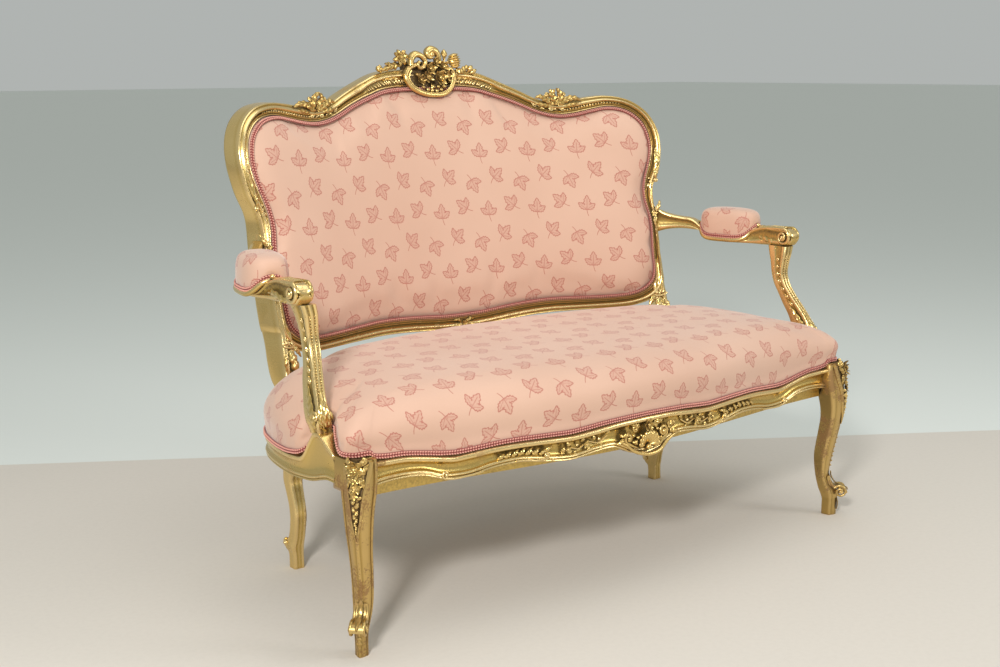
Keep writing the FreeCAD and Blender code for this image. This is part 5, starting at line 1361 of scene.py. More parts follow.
@dataclass
class SeatFrame:
    """The front and side rails and the front legs."""

    shop: Workshop
    thick: float = 28.0
    lining: float = 285.0

    def front_profile(self, low: float, top: float) -> list[Row]:
        """The front rail's section: depth behind its face, height, tone."""
        high = top - 12.5
        cove = [(lerp(3.8, 7.2, math.sin(math.pi * t)), lerp(high, low + 12.5, t), 0.45 - 0.15 * math.sin(math.pi * t))
                for t in (0.0, 0.18, 0.36, 0.54, 0.72, 0.88, 1.0)]
        inner = min(low - 0.5, self.lining)
        return [(2.0, top, 0.8), (-2.4, top - 0.4, 1.0), (-4.8, top - 2.4, 1.0), (-5.6, top - 5.6, 1.0),
                (-4.8, top - 8.6, 1.0), (-1.6, top - 10.6, 0.9), (2.4, top - 11.6, 0.3), *cove,
                (1.6, low + 11.6, 0.3), (-0.8, low + 10.0, 0.9), (-1.8, low + 8.0, 1.0), (-0.8, low + 6.0, 0.8),
                (1.4, low + 5.0, 0.1), (0.0, low + 3.8, 0.7), (-0.8, low + 2.2, 1.0), (0.2, low + 0.5, 0.8),
                (2.6, low, 0.5), (14.0, low, 0.3), (15.0, inner, 0.3), (self.thick, inner, 0.3), (self.thick, top, 0.5)]

    def front_rail(self) -> None:
        """The front rail with its scrolls, vines and gadroons."""
        rows = FINE_APRON
        skin = self.shop.skin()
        rings, tones = [], []
        for x, low, top in [(-r[0], r[1], r[2]) for r in reversed(rows[1:])] + rows:
            y = front_y(x)
            section = self.front_profile(low, top)
            rings.append([Vector((x, y + d, z)) for d, z, _ in section])
            tones.append([t for _, _, t in section])
        skin.rings(rings, tones)
        half = self.shop.skin()
        on = apron_relief
        half.volute((-458, 302), 7.5, 1.35, -80, 2.9, on, 5.5, -1,
                    lead=[(-380, 296, 6), (-410, 293, 6), (-440, 292, 6)])
        half.tube([(-470, 301, 5), (-490, 309, 5), (-515, 314, 5), (-545, 317, 5)], [3.0, 2.6, 2.2, 1.4], on)
        half.volute((-243, 306), 7.0, 1.3, 250, 2.8, on, 5.5, 1,
                    lead=[(-310, 305, 6), (-285, 303, 6), (-262, 299, 6)])
        half.leaf([(-246, 312, 4), (-238, 318, 6), (-226, 321, 3)], 4.5, on, 3, 2.5)
        half.leaf([(-236, 301, 5), (-228, 297, 6), (-214, 294, 4)], 4.0, on, 3, 2.5)
        for i in range(7):
            x = -346 + i * 15.0
            tall = 7.0 + 6.5 * math.sin(math.pi * (i + 1) / 8.5)
            foot = look_up(APRON, abs(x), 1) + 13.0
            half.leaf([(x, foot, 2.0), (x + 6, foot + tall * 0.55, 5.5), (x + 13, foot + tall, 3.0)], 4.8, on, 3, 3.0,
                      1.0)
        skin.merged(half)
        skin.merged(half.reflected())
        for side in (-1, 1):
            vine = [(side * 208, 303, 2.5), (side * 190, 312, 3), (side * 168, 308, 3), (side * 146, 318, 3),
                    (side * 122, 313, 3), (side * 100, 324, 3)]
            line = flow(vine, 6)
            skin.tube(line, [1.7] * len(line), on, 6)
            for x, z, turn, long in ((207, 306, 120, 12), (190, 315, 60, 13), (176, 305, -70, 11), (160, 320, 100, 13),
                                     (146, 309, -100, 12), (131, 320, 70, 12), (113, 309, -60, 11),
                                     (100, 327, 110, 12)):
                angle = math.radians(turn if side > 0 else 180 - turn)
                c, d = math.cos(angle), math.sin(angle)
                skin.leaf([(side * x, z, 2.5), (side * x + c * long * 0.5, z + d * long * 0.5, 5.5),
                           (side * x + c * long, z + d * long, 3.0)], 4.6, on, 3, 2.6, 1.0)
            skin.flower(side * 150, 313, 4.5, 9.0, on, 5, 10)
            skin.flower(side * 192, 309, 4.0, 6.5, on, 5, 40)
            skin.ball(side * 120, 320, 4, 3.6, on)
            skin.ball(side * 172, 316, 4, 3.0, on)
            self.shop.pearls(skin, [(side * 262, 316, 2), (side * 296, 319, 2), (side * 332, 316, 2)], on, 2.6, 9.0)
        self.shop.piece(skin, "front_rail_moulding", Finish.FRAME, "gilded_frame", ["front_seat_rail"])
        self.shop.piece(self.cartouche(), "apron_carving", Finish.CARVING, "gilded_carving", ["apron_cartouche"])

    def cartouche(self) -> Skin:
        """The carving at the middle of the front rail: a lopsided shell among flowers and scrolls."""
        s, on = self.shop.skin(), apron_relief
        rim = flow([(-64, 302, 6, 2.2), (-52, 296, 8, 3.0), (-38, 284, 9, 3.6), (-14, 274, 10, 4.0), (12, 270, 10, 4.2),
                    (36, 275, 10, 4.2), (54, 288, 9, 3.8), (74, 298, 8, 3.0), (94, 302, 6, 2.0)], 6)
        s.stem(rim, on, 8, 1.1)
        s.volute((45, 311), 13.0, 1.5, -75, 4.2, on, 6.0, 1, lead=[(20, 282, 7), (38, 289, 8)])
        s.volute((-47, 309), 10.0, 1.4, 250, 3.4, on, 6.0, -1, lead=[(-24, 287, 6), (-38, 293, 7)])
        s.shell(4, 286, 6, 34, 88, 150, 9, on)
        s.ball(4, 285, 9, 6.5, on)
        s.flower(3, 330, 8, 13, on, 6, 0, 0.4)
        s.flower(3, 330, 11, 7.5, on, 5, 30, 0.7)
        s.volute((-30, 326), 8.0, 1.3, 20, 2.8, on, 6.0, 1)
        s.volute((24, 327), 6.5, 1.3, 160, 2.5, on, 6.0, -1)
        for x, z, turn, long in ((-18, 330, 165, 26), (-44, 320, 190, 26), (20, 332, 10, 26), (58, 322, 12, 26),
                                 (-58, 311, 205, 22),
                                 (66, 308, -8, 24), (-8, 300, 120, 16), (18, 300, 60, 16), (30, 296, 10, 16),
                                 (-24, 298, 170, 16)):
            c, d = math.cos(math.radians(turn)), math.sin(math.radians(turn))
            s.leaf([(x, z, 5), (x + c * long * 0.5, z + d * long * 0.5, 10), (x + c * long, z + d * long, 5)],
                   6.0, on, 4, 3.6, 1.0)
        for x, z, r in ((-34, 313, 3.6), (-22, 307, 4.0), (30, 318, 3.6), (64, 316, 3.6), (-66, 318, 3.2),
                        (78, 316, 3.0)):
            s.ball(x, z, 6, r, on)
        return s

    def side_rail(self) -> None:
        """The side rails, whose tops rise to carry the arm supports."""
        skin = self.shop.skin()
        rings, tones = [], []
        for ox, oy, ix, iy, low, top in flow(SIDE_RAIL, 6):
            outer, inner = Vector((ox, oy, 0)), Vector((ix, iy, 0))
            inward = (inner - outer).normalized()
            high = top - 12.0
            section = [(2.5, top, 0.6), (-0.6, top - 0.8, 0.9), (-1.6, top - 3.4, 1.0), (-1.0, top - 7.0, 0.9),
                       (2.4, top - 10.0, 0.4)]
            section += [(lerp(3.2, 5.8, math.sin(math.pi * t)), lerp(high, low + 12.0, t), 0.5) for t in
                        (0.0, 0.25, 0.5, 0.75, 1.0)]
            section += [(2.0, low + 11.0, 0.3), (-0.4, low + 9.4, 0.8), (-1.2, low + 7.4, 0.9), (-0.2, low + 5.4, 0.6),
                        (1.8, low + 4.4, 0.1), (0.4, low + 3.0, 0.6), (0.0, low + 1.4, 0.8), (2.0, low, 0.4)]
            rings.append([outer + inward * d + Vector((0, 0, z)) for d, z, _ in section]
                         + [inner + Vector((0, 0, low)), inner + Vector((0, 0, top))])
            tones.append([t for _, _, t in section] + [0.3, 0.5])
        skin.rings(rings, tones)
        self.shop.pair(skin, "side_rail_moulding", Finish.FRAME, "gilded_frame", ["side_seat_rail"])

    @staticmethod
    def leg_outline() -> list[Row]:
        """Half of a front leg's section from the front arris round to the inner one: reach, side, tone."""
        return [(1.0, 0.0, 1.0), (0.985, 0.10, 0.9), (0.935, 0.17, 0.35), (0.925, 0.24, 0.5), (0.90, 0.36, 0.8),
                (0.83, 0.52, 0.85), (0.745, 0.67, 0.8), (0.665, 0.78, 0.6), (0.615, 0.845, 0.1), (0.625, 0.91, 0.6),
                (0.59, 0.98, 1.0), (0.52, 1.0, 1.0), (0.455, 0.97, 0.9), (0.40, 0.88, 0.6), (0.28, 0.62, 0.55),
                (0.15, 0.34, 0.55), (0.04, 0.14, 0.6)]

    def front_leg(self) -> None:
        """The front legs: cabriole, with a moulding down each edge and a scrolled toe on a small shoe."""
        skin = self.shop.skin()
        outline = self.leg_outline()
        rings, tones = [], []
        for z, inside, outside, side in flow(FRONT_LEG, 5):
            right = [leg_plan(lerp(inside, outside, a), b * side, z) for a, b, _ in outline]
            left = [leg_plan(lerp(inside, outside, a), -b * side, z) for a, b, _ in reversed(outline[1:])]
            end = leg_plan(inside, 0.0, z)
            shade = 0.75 if z < 40 else 1.0
            rings.append(right + [end] + left)
            tones.append([t * shade for _, _, t in outline] + [0.5] + [t * shade for _, _, t in reversed(outline[1:])])
        skin.rings(rings, tones)
        block = [Vector((x, y, 0)) for x, y in LEG_BLOCK]
        middle = sum(block, Vector()) / len(block)
        levels = ((306, 0.97), (307, 0.985), (360.5, 0.985), (362, 0.96))
        skin.rings([[middle + (p - middle) * s + Vector((0, 0, z)) for p in block] for z, s in levels],
                   [[0.6] * len(block)] * len(levels))
        self.edge_moulding(skin)
        self.toe(skin)
        self.shop.pair(skin, "cabriole_leg", Finish.LEGS, "gilded_frame", ["front_leg"])
        self.knee()

    @staticmethod
    def edge_moulding(skin: Skin) -> None:
        """The mouldings that run from the rails down each side of the knee's carving, with a raised tone that paints a
        highlight along them.
        """
        facing = lambda u, v, h: Vector((u, -h, v))
        front = flow([(584, 346, 1.5, 4.6), (600, 347, 4.0, 5.0), (615, 347, 7.5, 5.2), (628, 343, 10.0, 5.2),
                      (636, 333, 11.5, 4.8), (639, 318, 12.0, 4.2), (638, 298, 11.0, 3.2), (636, 280, 9.0, 2.0)], 5)
        # A raised low tone: painted highlight along the band.
        skin.stem(front, facing, 10, 1.0, tone=(0.6, 1.0))
        for side in (-1, 1):
            path = flow([(side * 24, 358, 1.0, 4.0), (side * 20.5, 332, 2.0, 4.0), (side * 15.5, 305, 2.4, 3.6),
                         (side * 11.5, 280, 2.2, 3.0), (side * 8.0, 255, 1.8, 2.4), (side * 4.2, 236, 1.6, 1.8),
                         (side * 1.6, 218, 0.8, 1.0)], 5)
            # A raised low tone: painted highlight along each edge.
            skin.stem(path, knee_relief, 8, tone=(0.5, 1.0))

    @staticmethod
    def toe(skin: Skin) -> None:
        """The scrolled toe: a roll with a volute on each side, a leaf over it and pearls above."""
        for side in (-1, 1):
            on = lambda u, v, h, s=side: leg_plan(u, s * (13.5 + h), v)
            skin.volute((24.0, 58.0), 15.5, 1.6, 150, 3.4, on, -2.0, -1, lead=[(-2, 92, -3), (2, 78, -2)],
                        lead_size=0.5)
        roll = lambda u, v, h: leg_plan(u, h, v)
        skin.tube([(24.0, 58.0, -13.0), (24.0, 58.0, 13.0)], [12.5, 12.5], roll, 16)
        band = flow([(-1, 96), (1, 84), (7, 74), (18, 71), (30, 70), (38, 64), (40.5, 56)], 4)
        count = len(band)
        outer = [leg_plan(u, -12.5, v) for u, v in band] + [leg_plan(u, 12.5, v) for u, v in reversed(band)]
        inner = [leg_plan(u - 6, -12.5, v - 3) for u, v in band] + [leg_plan(u - 6, 12.5, v - 3)
                                                                    for u, v in reversed(band)]
        rings = [[outer[i], outer[2 * count - 1 - i], inner[2 * count - 1 - i], inner[i]] for i in range(count)]
        skin.rings(rings, [[0.8] * 4] * count)
        slope = [(44, 38), (56, 41), (66, 37), (72, 24), (78, 9), (90, 1), (110, 0)]
        front = lambda u, v, h: leg_plan(look_up(slope, v, 1) + h, u, v)
        skin.leaf([(0, 104, 0.5), (0, 84, 2.0), (0, 70, 2.5), (0, 60, 2.0)], 6.0, front, 4, 2.5)
        for i in range(7):
            skin.ball(0, 118 + 11 * i, 0.6, 2.0 - 0.12 * i,
                      lambda u, v, h: leg_plan(leg_front(v) + h, u, v), 8)
        shoe = lambda u, v, h: leg_plan(18.0 + h, u, v)
        skin.leaf([(0, 40, 0), (0, 26, 1.5), (0, 12, 0.5)], 6.5, shoe, 3, 2.0)

    def knee(self) -> None:
        """The carving on the front corners: a flower head over a trail of pearls and buds."""
        s, on = self.shop.skin(), knee_relief
        s.flower(0, 351, 7, 16, on, 6, 15, 0.55)
        s.flower(0, 351, 10, 9, on, 5, 40, 0.8)
        for side in (-1, 1):
            s.volute((side * 12, 360), 6.5, 1.3, 90, 3.0, on, 5.0, -side)
            s.leaf([(side * 4, 340, 5), (side * 14, 346, 9), (side * 22, 356, 7)], 7.5, on, 3, 4.0, 1)
            s.leaf([(side * 5, 334, 4), (side * 12, 326, 7), (side * 15, 314, 5)], 5.5, on, 3, 3.0, 1)
        for i, (z, r, petals) in enumerate(((333, 11.5, 5), (317, 10.0, 5), (303, 8.5, 5))):
            s.flower((-1) ** i * 2.0, z, 5.5, r, on, petals, 20 * i, 0.5)
            s.ball((-1) ** (i + 1) * 8.0, z - 4, 4.5, 3.6, on)
            s.ball((-1) ** i * 10.0, z + 6, 4.0, 3.2, on)
        for i in range(9):
            t = i / 8
            z = 292 - 56 * t
            off = (1 - t) * 3.6 * (-1) ** i
            s.ball(off, z, 3.6 - 1.2 * t, lerp(4.4, 2.2, t), on)
            s.ball(-off * 1.1, z - 3.5, 3.0 - t, lerp(3.2, 1.7, t), on, 8)
        # A ground behind the carving at the lowest tone: painted shade between its flowers and buds.
        base = flow([(0, 366, 0), (16, 360, 0), (15, 330, 0), (9, 300, 0), (5, 262, 0), (0, 240, 0), (-5, 262, 0),
                     (-9, 300, 0), (-15, 330, 0), (-16, 360, 0)], 3, True)
        s.rings([[on(u, v, 2.4) for u, v, _ in base], [on(u, v, -3.0) for u, v, _ in base]], [[0.05] * len(base)] * 2)
        self.shop.pair(s, "knee_flowers", Finish.CARVING, "gilded_carving", ["knee_carving"])

    def make(self) -> None:
        """Makes every piece of the seat's frame."""
        self.front_rail()
        self.side_rail()
        self.front_leg()


@dataclass
class Arms:
    """The moulded and scrolled arms and their supports."""

    shop: Workshop

    @staticmethod
    def root() -> tuple[Vector, Vector]:
        """The middle of the face where the right arm meets the upright, and the way across the arm there."""
        edge = OPENING[ARM_ROOT_ROW][0] + OPENING[ARM_ROOT_ROW][2]
        slope = 2 * BACK_BOW * edge / BOW_REACH ** 2
        out = Vector((1.0, -slope, 0)).normalized()
        middle = back_place(edge, ARM_ROOT_HEIGHT, ARM_ROOT_DEPTH)
        return Vector((middle.x, middle.y, 0)) + out * 0.5, Vector((-out.y, out.x, 0))

    @staticmethod
    def outline(low: float, top: float, half: float, shoulder: float, crown: float) -> list[Row]:
        """Half of an arm's section, from the middle of its top down to the middle below: side, height, tone."""
        tall = top - low
        return [(0.0, top, 0.85), (crown * 0.55, top, 0.9), (crown, top - 0.4, 1.0),
                (lerp(crown, half, 0.7), lerp(top, shoulder, 0.55), 1.0), (half, shoulder, 0.9),
                (half - 0.6, shoulder - tall * 0.06, 0.4), (half - 3.4, shoulder - tall * 0.14, 0.1),
                (half - 4.2, low + tall * 0.5, 0.3), (half - 3.6, low + tall * 0.34, 0.2),
                (half - 1.0, low + tall * 0.28, 0.7), (half - 0.2, low + tall * 0.20, 1.0),
                (half - 1.4, low + tall * 0.10, 0.8), (half - 4.0, low + 1.2, 0.4), (half * 0.5, low, 0.3),
                (0.0, low, 0.3)]

    def arm(self) -> None:
        """The arms."""
        skin = self.shop.skin()
        rings, tones = [], []
        middle, across = self.root()
        turn = math.degrees(math.atan2(-across.x, across.y))
        rows = [(middle.x, middle.y, *ARM[0][2:5], turn, *ARM[0][6:])]
        rows += [tuple(r) for r in ARM[1:]]
        for x, y, low, top, half, angle, shoulder, crown in flow(rows, 6):
            side = Vector((-math.sin(math.radians(angle)), math.cos(math.radians(angle)), 0))
            section = self.outline(low, top, half, shoulder, crown)
            whole = section + [(-a, z, t) for a, z, t in reversed(section[1:-1])]
            rings.append([Vector((x, y, 0)) + side * a + Vector((0, 0, z)) for a, z, _ in whole])
            tones.append([t for _, _, t in whole])
        skin.rings(rings, tones)
        for side in (-1, 1):
            cheek = lambda u, v, h, s=side: Vector((652.0 + s * (15.0 + h), u, v))
            skin.volute((165.0, 634.0), 20.0, 1.6, 100, 4.2, cheek, 0.6, 1,
                        lead=[(262, 641, -1), (230, 650, -0.5), (196, 653, 0)], lead_size=0.5)
            skin.leaf([(186, 618, -1), (205, 622, 2), (236, 628, 1), (262, 626, -1)], 8.0, cheek, 5, 3.0)
        for i in range(5):
            y = 170 + 9.0 * i
            over = lambda u, v, h: Vector((652.0 + u, v, 655.5 + h))
            skin.tube([(-11, y, -1.0), (-5, y - 1.5, 0.9), (0, y - 2, 1.4), (5, y - 1.5, 0.9), (11, y, -1.0)],
                      [2.0] * 5, over, 6)
        roll = lambda u, v, h: Vector((652.0 + h, u, v))
        skin.tube([(163.0, 634.0, -14.0), (163.0, 634.0, 14.0)], [18.5, 18.5], roll, 20)
        for i in range(7):
            angle = math.radians(100 + 22 * i)
            for side in (-1, 1):
                skin.ball(163 + 19 * math.cos(angle), 634 + 19 * math.sin(angle), side * 10.0, 2.1, roll, 8)
        cradle = [(p, Vector((0, 0, 1))) for p in pad_ring(0.97, 0.0, -3.0)]
        count = len(cradle)
        skin.tube([(p.x, p.y, p.z - 4.0) for p, _ in cradle], [4.2] * count, flat, 8, 1.2, True)
        turn = math.radians(PAD_TURN)
        along = Vector((math.cos(turn), math.sin(turn), 0))
        centre = Vector((*PAD_CENTRE, 0))
        for way in (-1, 1):
            tip = centre + along * way * 76
            skin.ball(tip.x, tip.y, 653, 5.5, flat)
            end = centre + along * way * 100
            skin.leaf([(tip.x, tip.y, 650), ((tip.x + end.x) / 2, (tip.y + end.y) / 2, 652), (end.x, end.y, 653)], 8,
                      flat, 4, 2.5)
        self.shop.pair(skin, "scrolled_arm", Finish.FRAME, "gilded_frame", ["arm"])

    @staticmethod
    def post_outline() -> list[Row]:
        """Half of a support's section from its front round to its back: side, depth, tone."""
        return [(0.0, -1.0, 0.9), (0.17, -0.985, 0.9), (0.27, -0.93, 0.15), (0.46, -0.91, 0.15), (0.58, -0.975, 0.9),
                (0.76, -1.0, 1.0), (0.92, -0.93, 1.0), (1.0, -0.80, 0.9), (1.0, -0.62, 0.8), (0.93, -0.54, 0.15),
                (0.87, -0.38, 0.25), (0.87, 0.05, 0.25), (0.94, 0.17, 0.5), (1.0, 0.26, 0.9), (1.0, 0.84, 0.8),
                (0.88, 1.0, 0.6), (0.0, 1.0, 0.4)]

    def support(self) -> None:
        """The curved supports with a pearled hollow, husks on their sides and a leaf at the foot."""
        skin = self.shop.skin()
        rows = flow(SUPPORT, 6)
        half = self.post_outline()
        whole = half + [(-a, b, t) for a, b, t in reversed(half[1:-1])]
        skin.rings([[Vector((x + a * hx, y + b * hy, z)) for a, b, _ in whole] for z, x, y, hx, hy in rows],
                   [[t for _, _, t in whole]] * len(rows))

        def front(u: float, v: float, h: float) -> Vector:
            x, y, hx, hy = (look_up(rows, v, n) for n in (1, 2, 3, 4))
            return Vector((x + u * hx, y - hy * 0.93 - h, v))

        for side in (-1, 1):
            path = [(side * 0.37, z, 0.3) for z in range(462, 600, 10)]
            self.shop.pearls(skin, path, front, 1.7, 5.6)

            def cheek(u: float, v: float, h: float, s: int = side) -> Vector:
                x, y, hx, hy = (look_up(rows, v, n) for n in (1, 2, 3, 4))
                return Vector((x + s * (hx * 0.87 + h), y + u - hy * 0.15, v))

            for i in range(7):
                skin.husk(0, 474 + 17.5 * i, 0.3, 15 - i, 6.5 - 0.4 * i, 90, cheek)
            skin.leaf([(-4, 400, 1), (-5, 424, 4), (0, 448, 4), (6, 474, 1)], 13, cheek, 6, 4.0)
            skin.volute((-15, 424), 8.5, 1.3, 30, 3.2, cheek, 2.5, side)
        base = lambda u, v, h: Vector((look_up(rows, v, 1) + u,
                                       look_up(rows, v, 2) - look_up(rows, v, 4) * 0.95 - h, v))
        skin.leaf([(0, 396, 0), (0, 420, 2), (0, 444, 2.5), (0, 470, 0)], 9, base, 5, 3.5)
        for side in (-1, 1):
            skin.leaf([(side * 5, 400, 0), (side * 9, 422, 2), (side * 8, 444, 1)], 5.5, base, 4, 2.5)
        self.shop.pair(skin, "pearled_support", Finish.FRAME, "gilded_frame", ["arm_support"])

    def make(self) -> None:
        """Makes the arms and supports."""
        self.arm()
        self.support()


def spine(reach: float) -> list[float]:
    """Places across along the middle line of a cushion."""
    return [reach * (2 * i / SPINE_STEPS - 1) for i in range(SPINE_STEPS + 1)]


def pad_ring(scale: float, rise: float, out: float, count: int = 72) -> list[Vector]:
    """A ring of the right arm's pad: its scale, how far it has risen, and how far it stands out."""
    turn = math.radians(PAD_TURN)
    along, aside = Vector((math.cos(turn), math.sin(turn), 0)), Vector((-math.sin(turn), math.cos(turn), 0))
    ring = []
    for i in range(count):
        angle = 2 * math.pi * i / count
        c, s = math.cos(angle), math.sin(angle)
        a = math.copysign(abs(c) ** 0.72, c) * (PAD_REACH * scale - out)
        b = math.copysign(abs(s) ** 0.72, s) * (PAD_HALF_WIDTH * scale - out)
        edge = lerp(PAD_SIDE_EDGE, PAD_END_EDGE, c ** 4)
        ring.append(Vector((*PAD_CENTRE, 0)) + along * a + aside * b + Vector((0, 0, lerp(edge, PAD_TOP, rise))))
    return ring


@dataclass
class Cushions:
    """The stuffed seat, back and arm pads with their braids."""

    shop: Workshop

    def __post_init__(self) -> None:
        self.edge = flow(SEAT_EDGE, 4)
        self.opening = flow([(x, z) for x, z, _ in OPENING], 4)

    @staticmethod
    def seat_top(x: float, y: float) -> float:
        """The height of the seat over a place in plan."""
        out = max(0.0, abs(x) - SEAT_SPINE[0]) / (SEAT_REACH - SEAT_SPINE[0])
        fall = look_up(SEAT_BACK_FALL, y + BACK_BOW * (x / BOW_REACH) ** 2 * 0.85, 1)
        return SEAT_CROWN - SEAT_END_FALL * out ** 2 + fall

    def seat_place(self, row: Row, inset: float, rise: float, up: float = 0.0, out: float = 0.0) -> Vector:
        """A place on the seat's skin: drawn in towards the middle line, and risen from the edge."""
        x, y, z, swell = row
        tx, ty = min(x, SEAT_SPINE[0]), SEAT_SPINE[1]
        step = inset if inset >= 0 else lerp(0.004, inset, min(max(swell, 0), 1))
        px, py = lerp(x, tx, step), lerp(y, ty, step)
        inward = Vector((tx - x, ty - y, 0)).normalized()
        height = lerp(z, self.seat_top(px, py), rise)
        return Vector((px, py, height + up)) - inward * out

    def whole(self, half: list[Vector]) -> list[Vector]:
        """A ring from its right half, whose ends lie on the middle."""
        half[0].x = half[-1].x = 0.0
        return half + [Vector((-p.x, p.y, p.z)) for p in reversed(half[1:-1])]

    @staticmethod
    def cloth_maps(rings: list[list[Vector]], targets: list[Vector], place: Callable[[Vector], tuple[float, float]],
                   ) -> list[list[tuple[float, float]]]:
        """The cloth map: each column is laid flat outwards from the middle line."""
        maps: list[list[tuple[float, float]]] = [[] for _ in rings]
        for j, target in enumerate(targets):
            column = [ring[j] for ring in rings]
            u0, v0 = place(target)
            u1, v1 = place(column[0])
            far = math.hypot(u1 - u0, v1 - v0) or 1.0
            run, last = 0.0, target
            for i in range(len(column) - 1, -1, -1):
                run += (column[i] - last).length
                last = column[i]
                maps[i].append(((u0 + (u1 - u0) / far * run) * MM, (v0 + (v1 - v0) / far * run) * MM))
        return maps

    def cover(self, rings: list[list[Vector]], targets: list[Vector], nodes: list[Vector],
              place: Callable[[Vector], tuple[float, float]]) -> Skin:
        """A cover through its rings from the edge to the middle line.

        Args:
            rings: Rings from the edge inwards.
            targets: Where each column meets the middle line.
            nodes: The middle line.
            place: A place's position on the cloth.

        Returns:
            The open cover with its cloth map.
        """
        skin = self.shop.skin()
        skin.rings(rings, None, False, False, self.cloth_maps(rings, targets, place))
        wide, base = len(rings[0]), len(skin.points)
        inner = base - wide
        for node in nodes:
            u, v = place(node)
            skin.points.append(node)
            skin.tones.append(0.7)
            skin.maps.append((u * MM, v * MM))
        near = [min(range(len(nodes)), key=lambda n: (nodes[n] - t).length) for t in targets]
        for j in range(wide):
            k = (j + 1) % wide
            a, b = near[j], near[k]
            step = 1 if b >= a else -1
            line = list(range(a, b + step, step)) if a != b else [a]
            skin.faces.append((inner + j, inner + k, *[base + n for n in reversed(line)]))
        return skin

    def sewn(self, skin: Skin, name: str, edge: int, pressure: float, cap: float, nodes: Sequence[str],
             fill: float) -> bpy.types.Object:
        """Args:
            skin: The open cover, whose first points lie on its edge.
            name: The piece's name.
            edge: How many points lie on the edge.
            pressure: How hard the filling presses.
            cap: How far a point may move in millimetres.
            nodes: The nodes that it replaces.
            fill: How full it is; not used.

        Returns:
            The finished cover.
        """
        made = skin.build(name, Finish.SATIN.material(), True, 180)
        self.press(made, edge, pressure, cap)
        smooth = made.modifiers.new("smooth", "SUBSURF")
        smooth.levels = smooth.render_levels = 1
        self.shop.enter(made, "cover_fabric", nodes)
        return made

    @staticmethod
    def press(made: bpy.types.Object, edge: int, pressure: float, cap: float) -> None:
        """Runs the cloth simulation and keeps its result within a cap."""
        rest = [v.co.copy() for v in made.data.vertices]
        group = made.vertex_groups.new(name="sewn")
        group.add(list(range(edge * 2)), 1.0, "REPLACE")
        cloth = made.modifiers.new("cloth", "CLOTH")
        settings = cloth.settings
        settings.quality, settings.mass = 6, 0.25
        settings.tension_stiffness = settings.compression_stiffness = 25.0
        settings.shear_stiffness, settings.bending_stiffness = 8.0, 1.2
        settings.use_pressure, settings.uniform_pressure_force = True, pressure
        settings.shrink_min = -0.012
        settings.vertex_group_mass = "sewn"
        settings.effector_weights.gravity = 0.0
        cloth.collision_settings.use_collision = False
        scene = bpy.context.scene
        for frame in range(1, PRESS_FRAMES + 1):
            scene.frame_set(frame)
        eased = bpy.data.meshes.new_from_object(made.evaluated_get(bpy.context.evaluated_depsgraph_get()))
        made.modifiers.remove(cloth)
        scene.frame_set(1)
        for vertex, start, end in zip(made.data.vertices, rest, eased.vertices):
            step = end.co - start
            if step.length > cap * MM:
                step *= cap * MM / step.length
            vertex.co = start + step
        bpy.data.meshes.remove(eased)
        made.vertex_groups.clear()

    def braid(self, ring: Sequence[tuple[Vector, Vector]], up: Sequence[Vector], wide: float = 9.0,
              tall: float = 2.6) -> Skin:
        """A woven braid along a closed line: a band with two rows of slanting knots.

        Args:
            ring: The band's middle and the way out there.
            up: The way across the band.
            wide: Its width.
            tall: How far it stands out.

        Returns:
            Its skin.
        """
        skin = self.shop.skin()
        half = wide / 2
        rings = []
        for (p, out), across in zip(ring, up):
            rings.append([p - across * half - out * 0.4, p - across * half * 0.9 + out * tall * 0.5,
                          p + out * tall * 0.6, p + across * half * 0.9 + out * tall * 0.5,
                          p + across * half - out * 0.4, p - out * 0.8])
        # The band's low tones paint shade under the knots.
        skin.rings(rings, [[0.05, 0.15, 0.05, 0.15, 0.05, 0.0]] * len(rings), closed=True)
        # Each knot's tones rise from its foot to its top: painted shade at the foot and a painted highlight on top.
        knot = Skin()
        knot.lobe((-2.2, -1.2, 0.5), (2.2, 1.2, 0.7), 1.75, flat, 1.1, 0.5, 7, 5)
        other = Skin()
        other.lobe((-2.2, 1.2, 0.5), (2.2, -1.2, 0.7), 1.75, flat, 1.1, 0.5, 7, 5)
        for shape, shift in ((knot, 0.28), (other, -0.28)):
            path = [(p + across * wide * shift + out * tall * 0.65, out, 1.0) for (p, out), across in zip(ring, up)]
            skin.absorb(ALONG.run(path, shape, 5.6, Finish.BRAID.material(), self.shop.shift, True))
        return skin

    def seat(self) -> None:
        """The seat and its braid."""
        levels = flow(SEAT_RINGS, 3)
        rings = [self.whole([self.seat_place(row, min(i, 0.985), r) for row in self.edge]) for i, r in levels[:-1]]
        last = self.whole([self.seat_place(row, 0.93, 1.0) for row in self.edge])
        rings = [ring for ring, (i, _) in zip(rings, levels) if i < 0.9] + [last]
        half = [Vector((min(x, SEAT_SPINE[0]), SEAT_SPINE[1], 0)) for x, _, _, _ in self.edge]
        for t in half:
            t.z = self.seat_top(t.x, t.y)
        targets = self.whole(half)
        nodes = [Vector((x, SEAT_SPINE[1], SEAT_CROWN)) for x in spine(SEAT_SPINE[0])]
        cover = self.cover(rings, targets, nodes, lambda p: (p.x, p.y))
        self.sewn(cover, "seat_upholstery", len(rings[0]), 2.0, 4.0, ["seat_cover", "seat_stuffing"], 0.85)
        ring, up = [], []
        places = self.whole([self.seat_place(row, -0.026 * 0.2, 0, 4.5, 2.0) for row in self.edge])
        aims = self.whole([Vector((min(x, SEAT_SPINE[0]), SEAT_SPINE[1], 0)) for x, _, _, _ in self.edge])
        for p, t in zip(places, aims):
            ring.append((p, Vector((p.x - t.x, p.y - t.y, 0)).normalized()))
            up.append(Vector((0, 0, 1)))
        skin = self.braid(ring, up)
        self.shop.piece(skin, "seat_braid", Finish.BRAID, "gimp_braid", ["seat_gimp"])

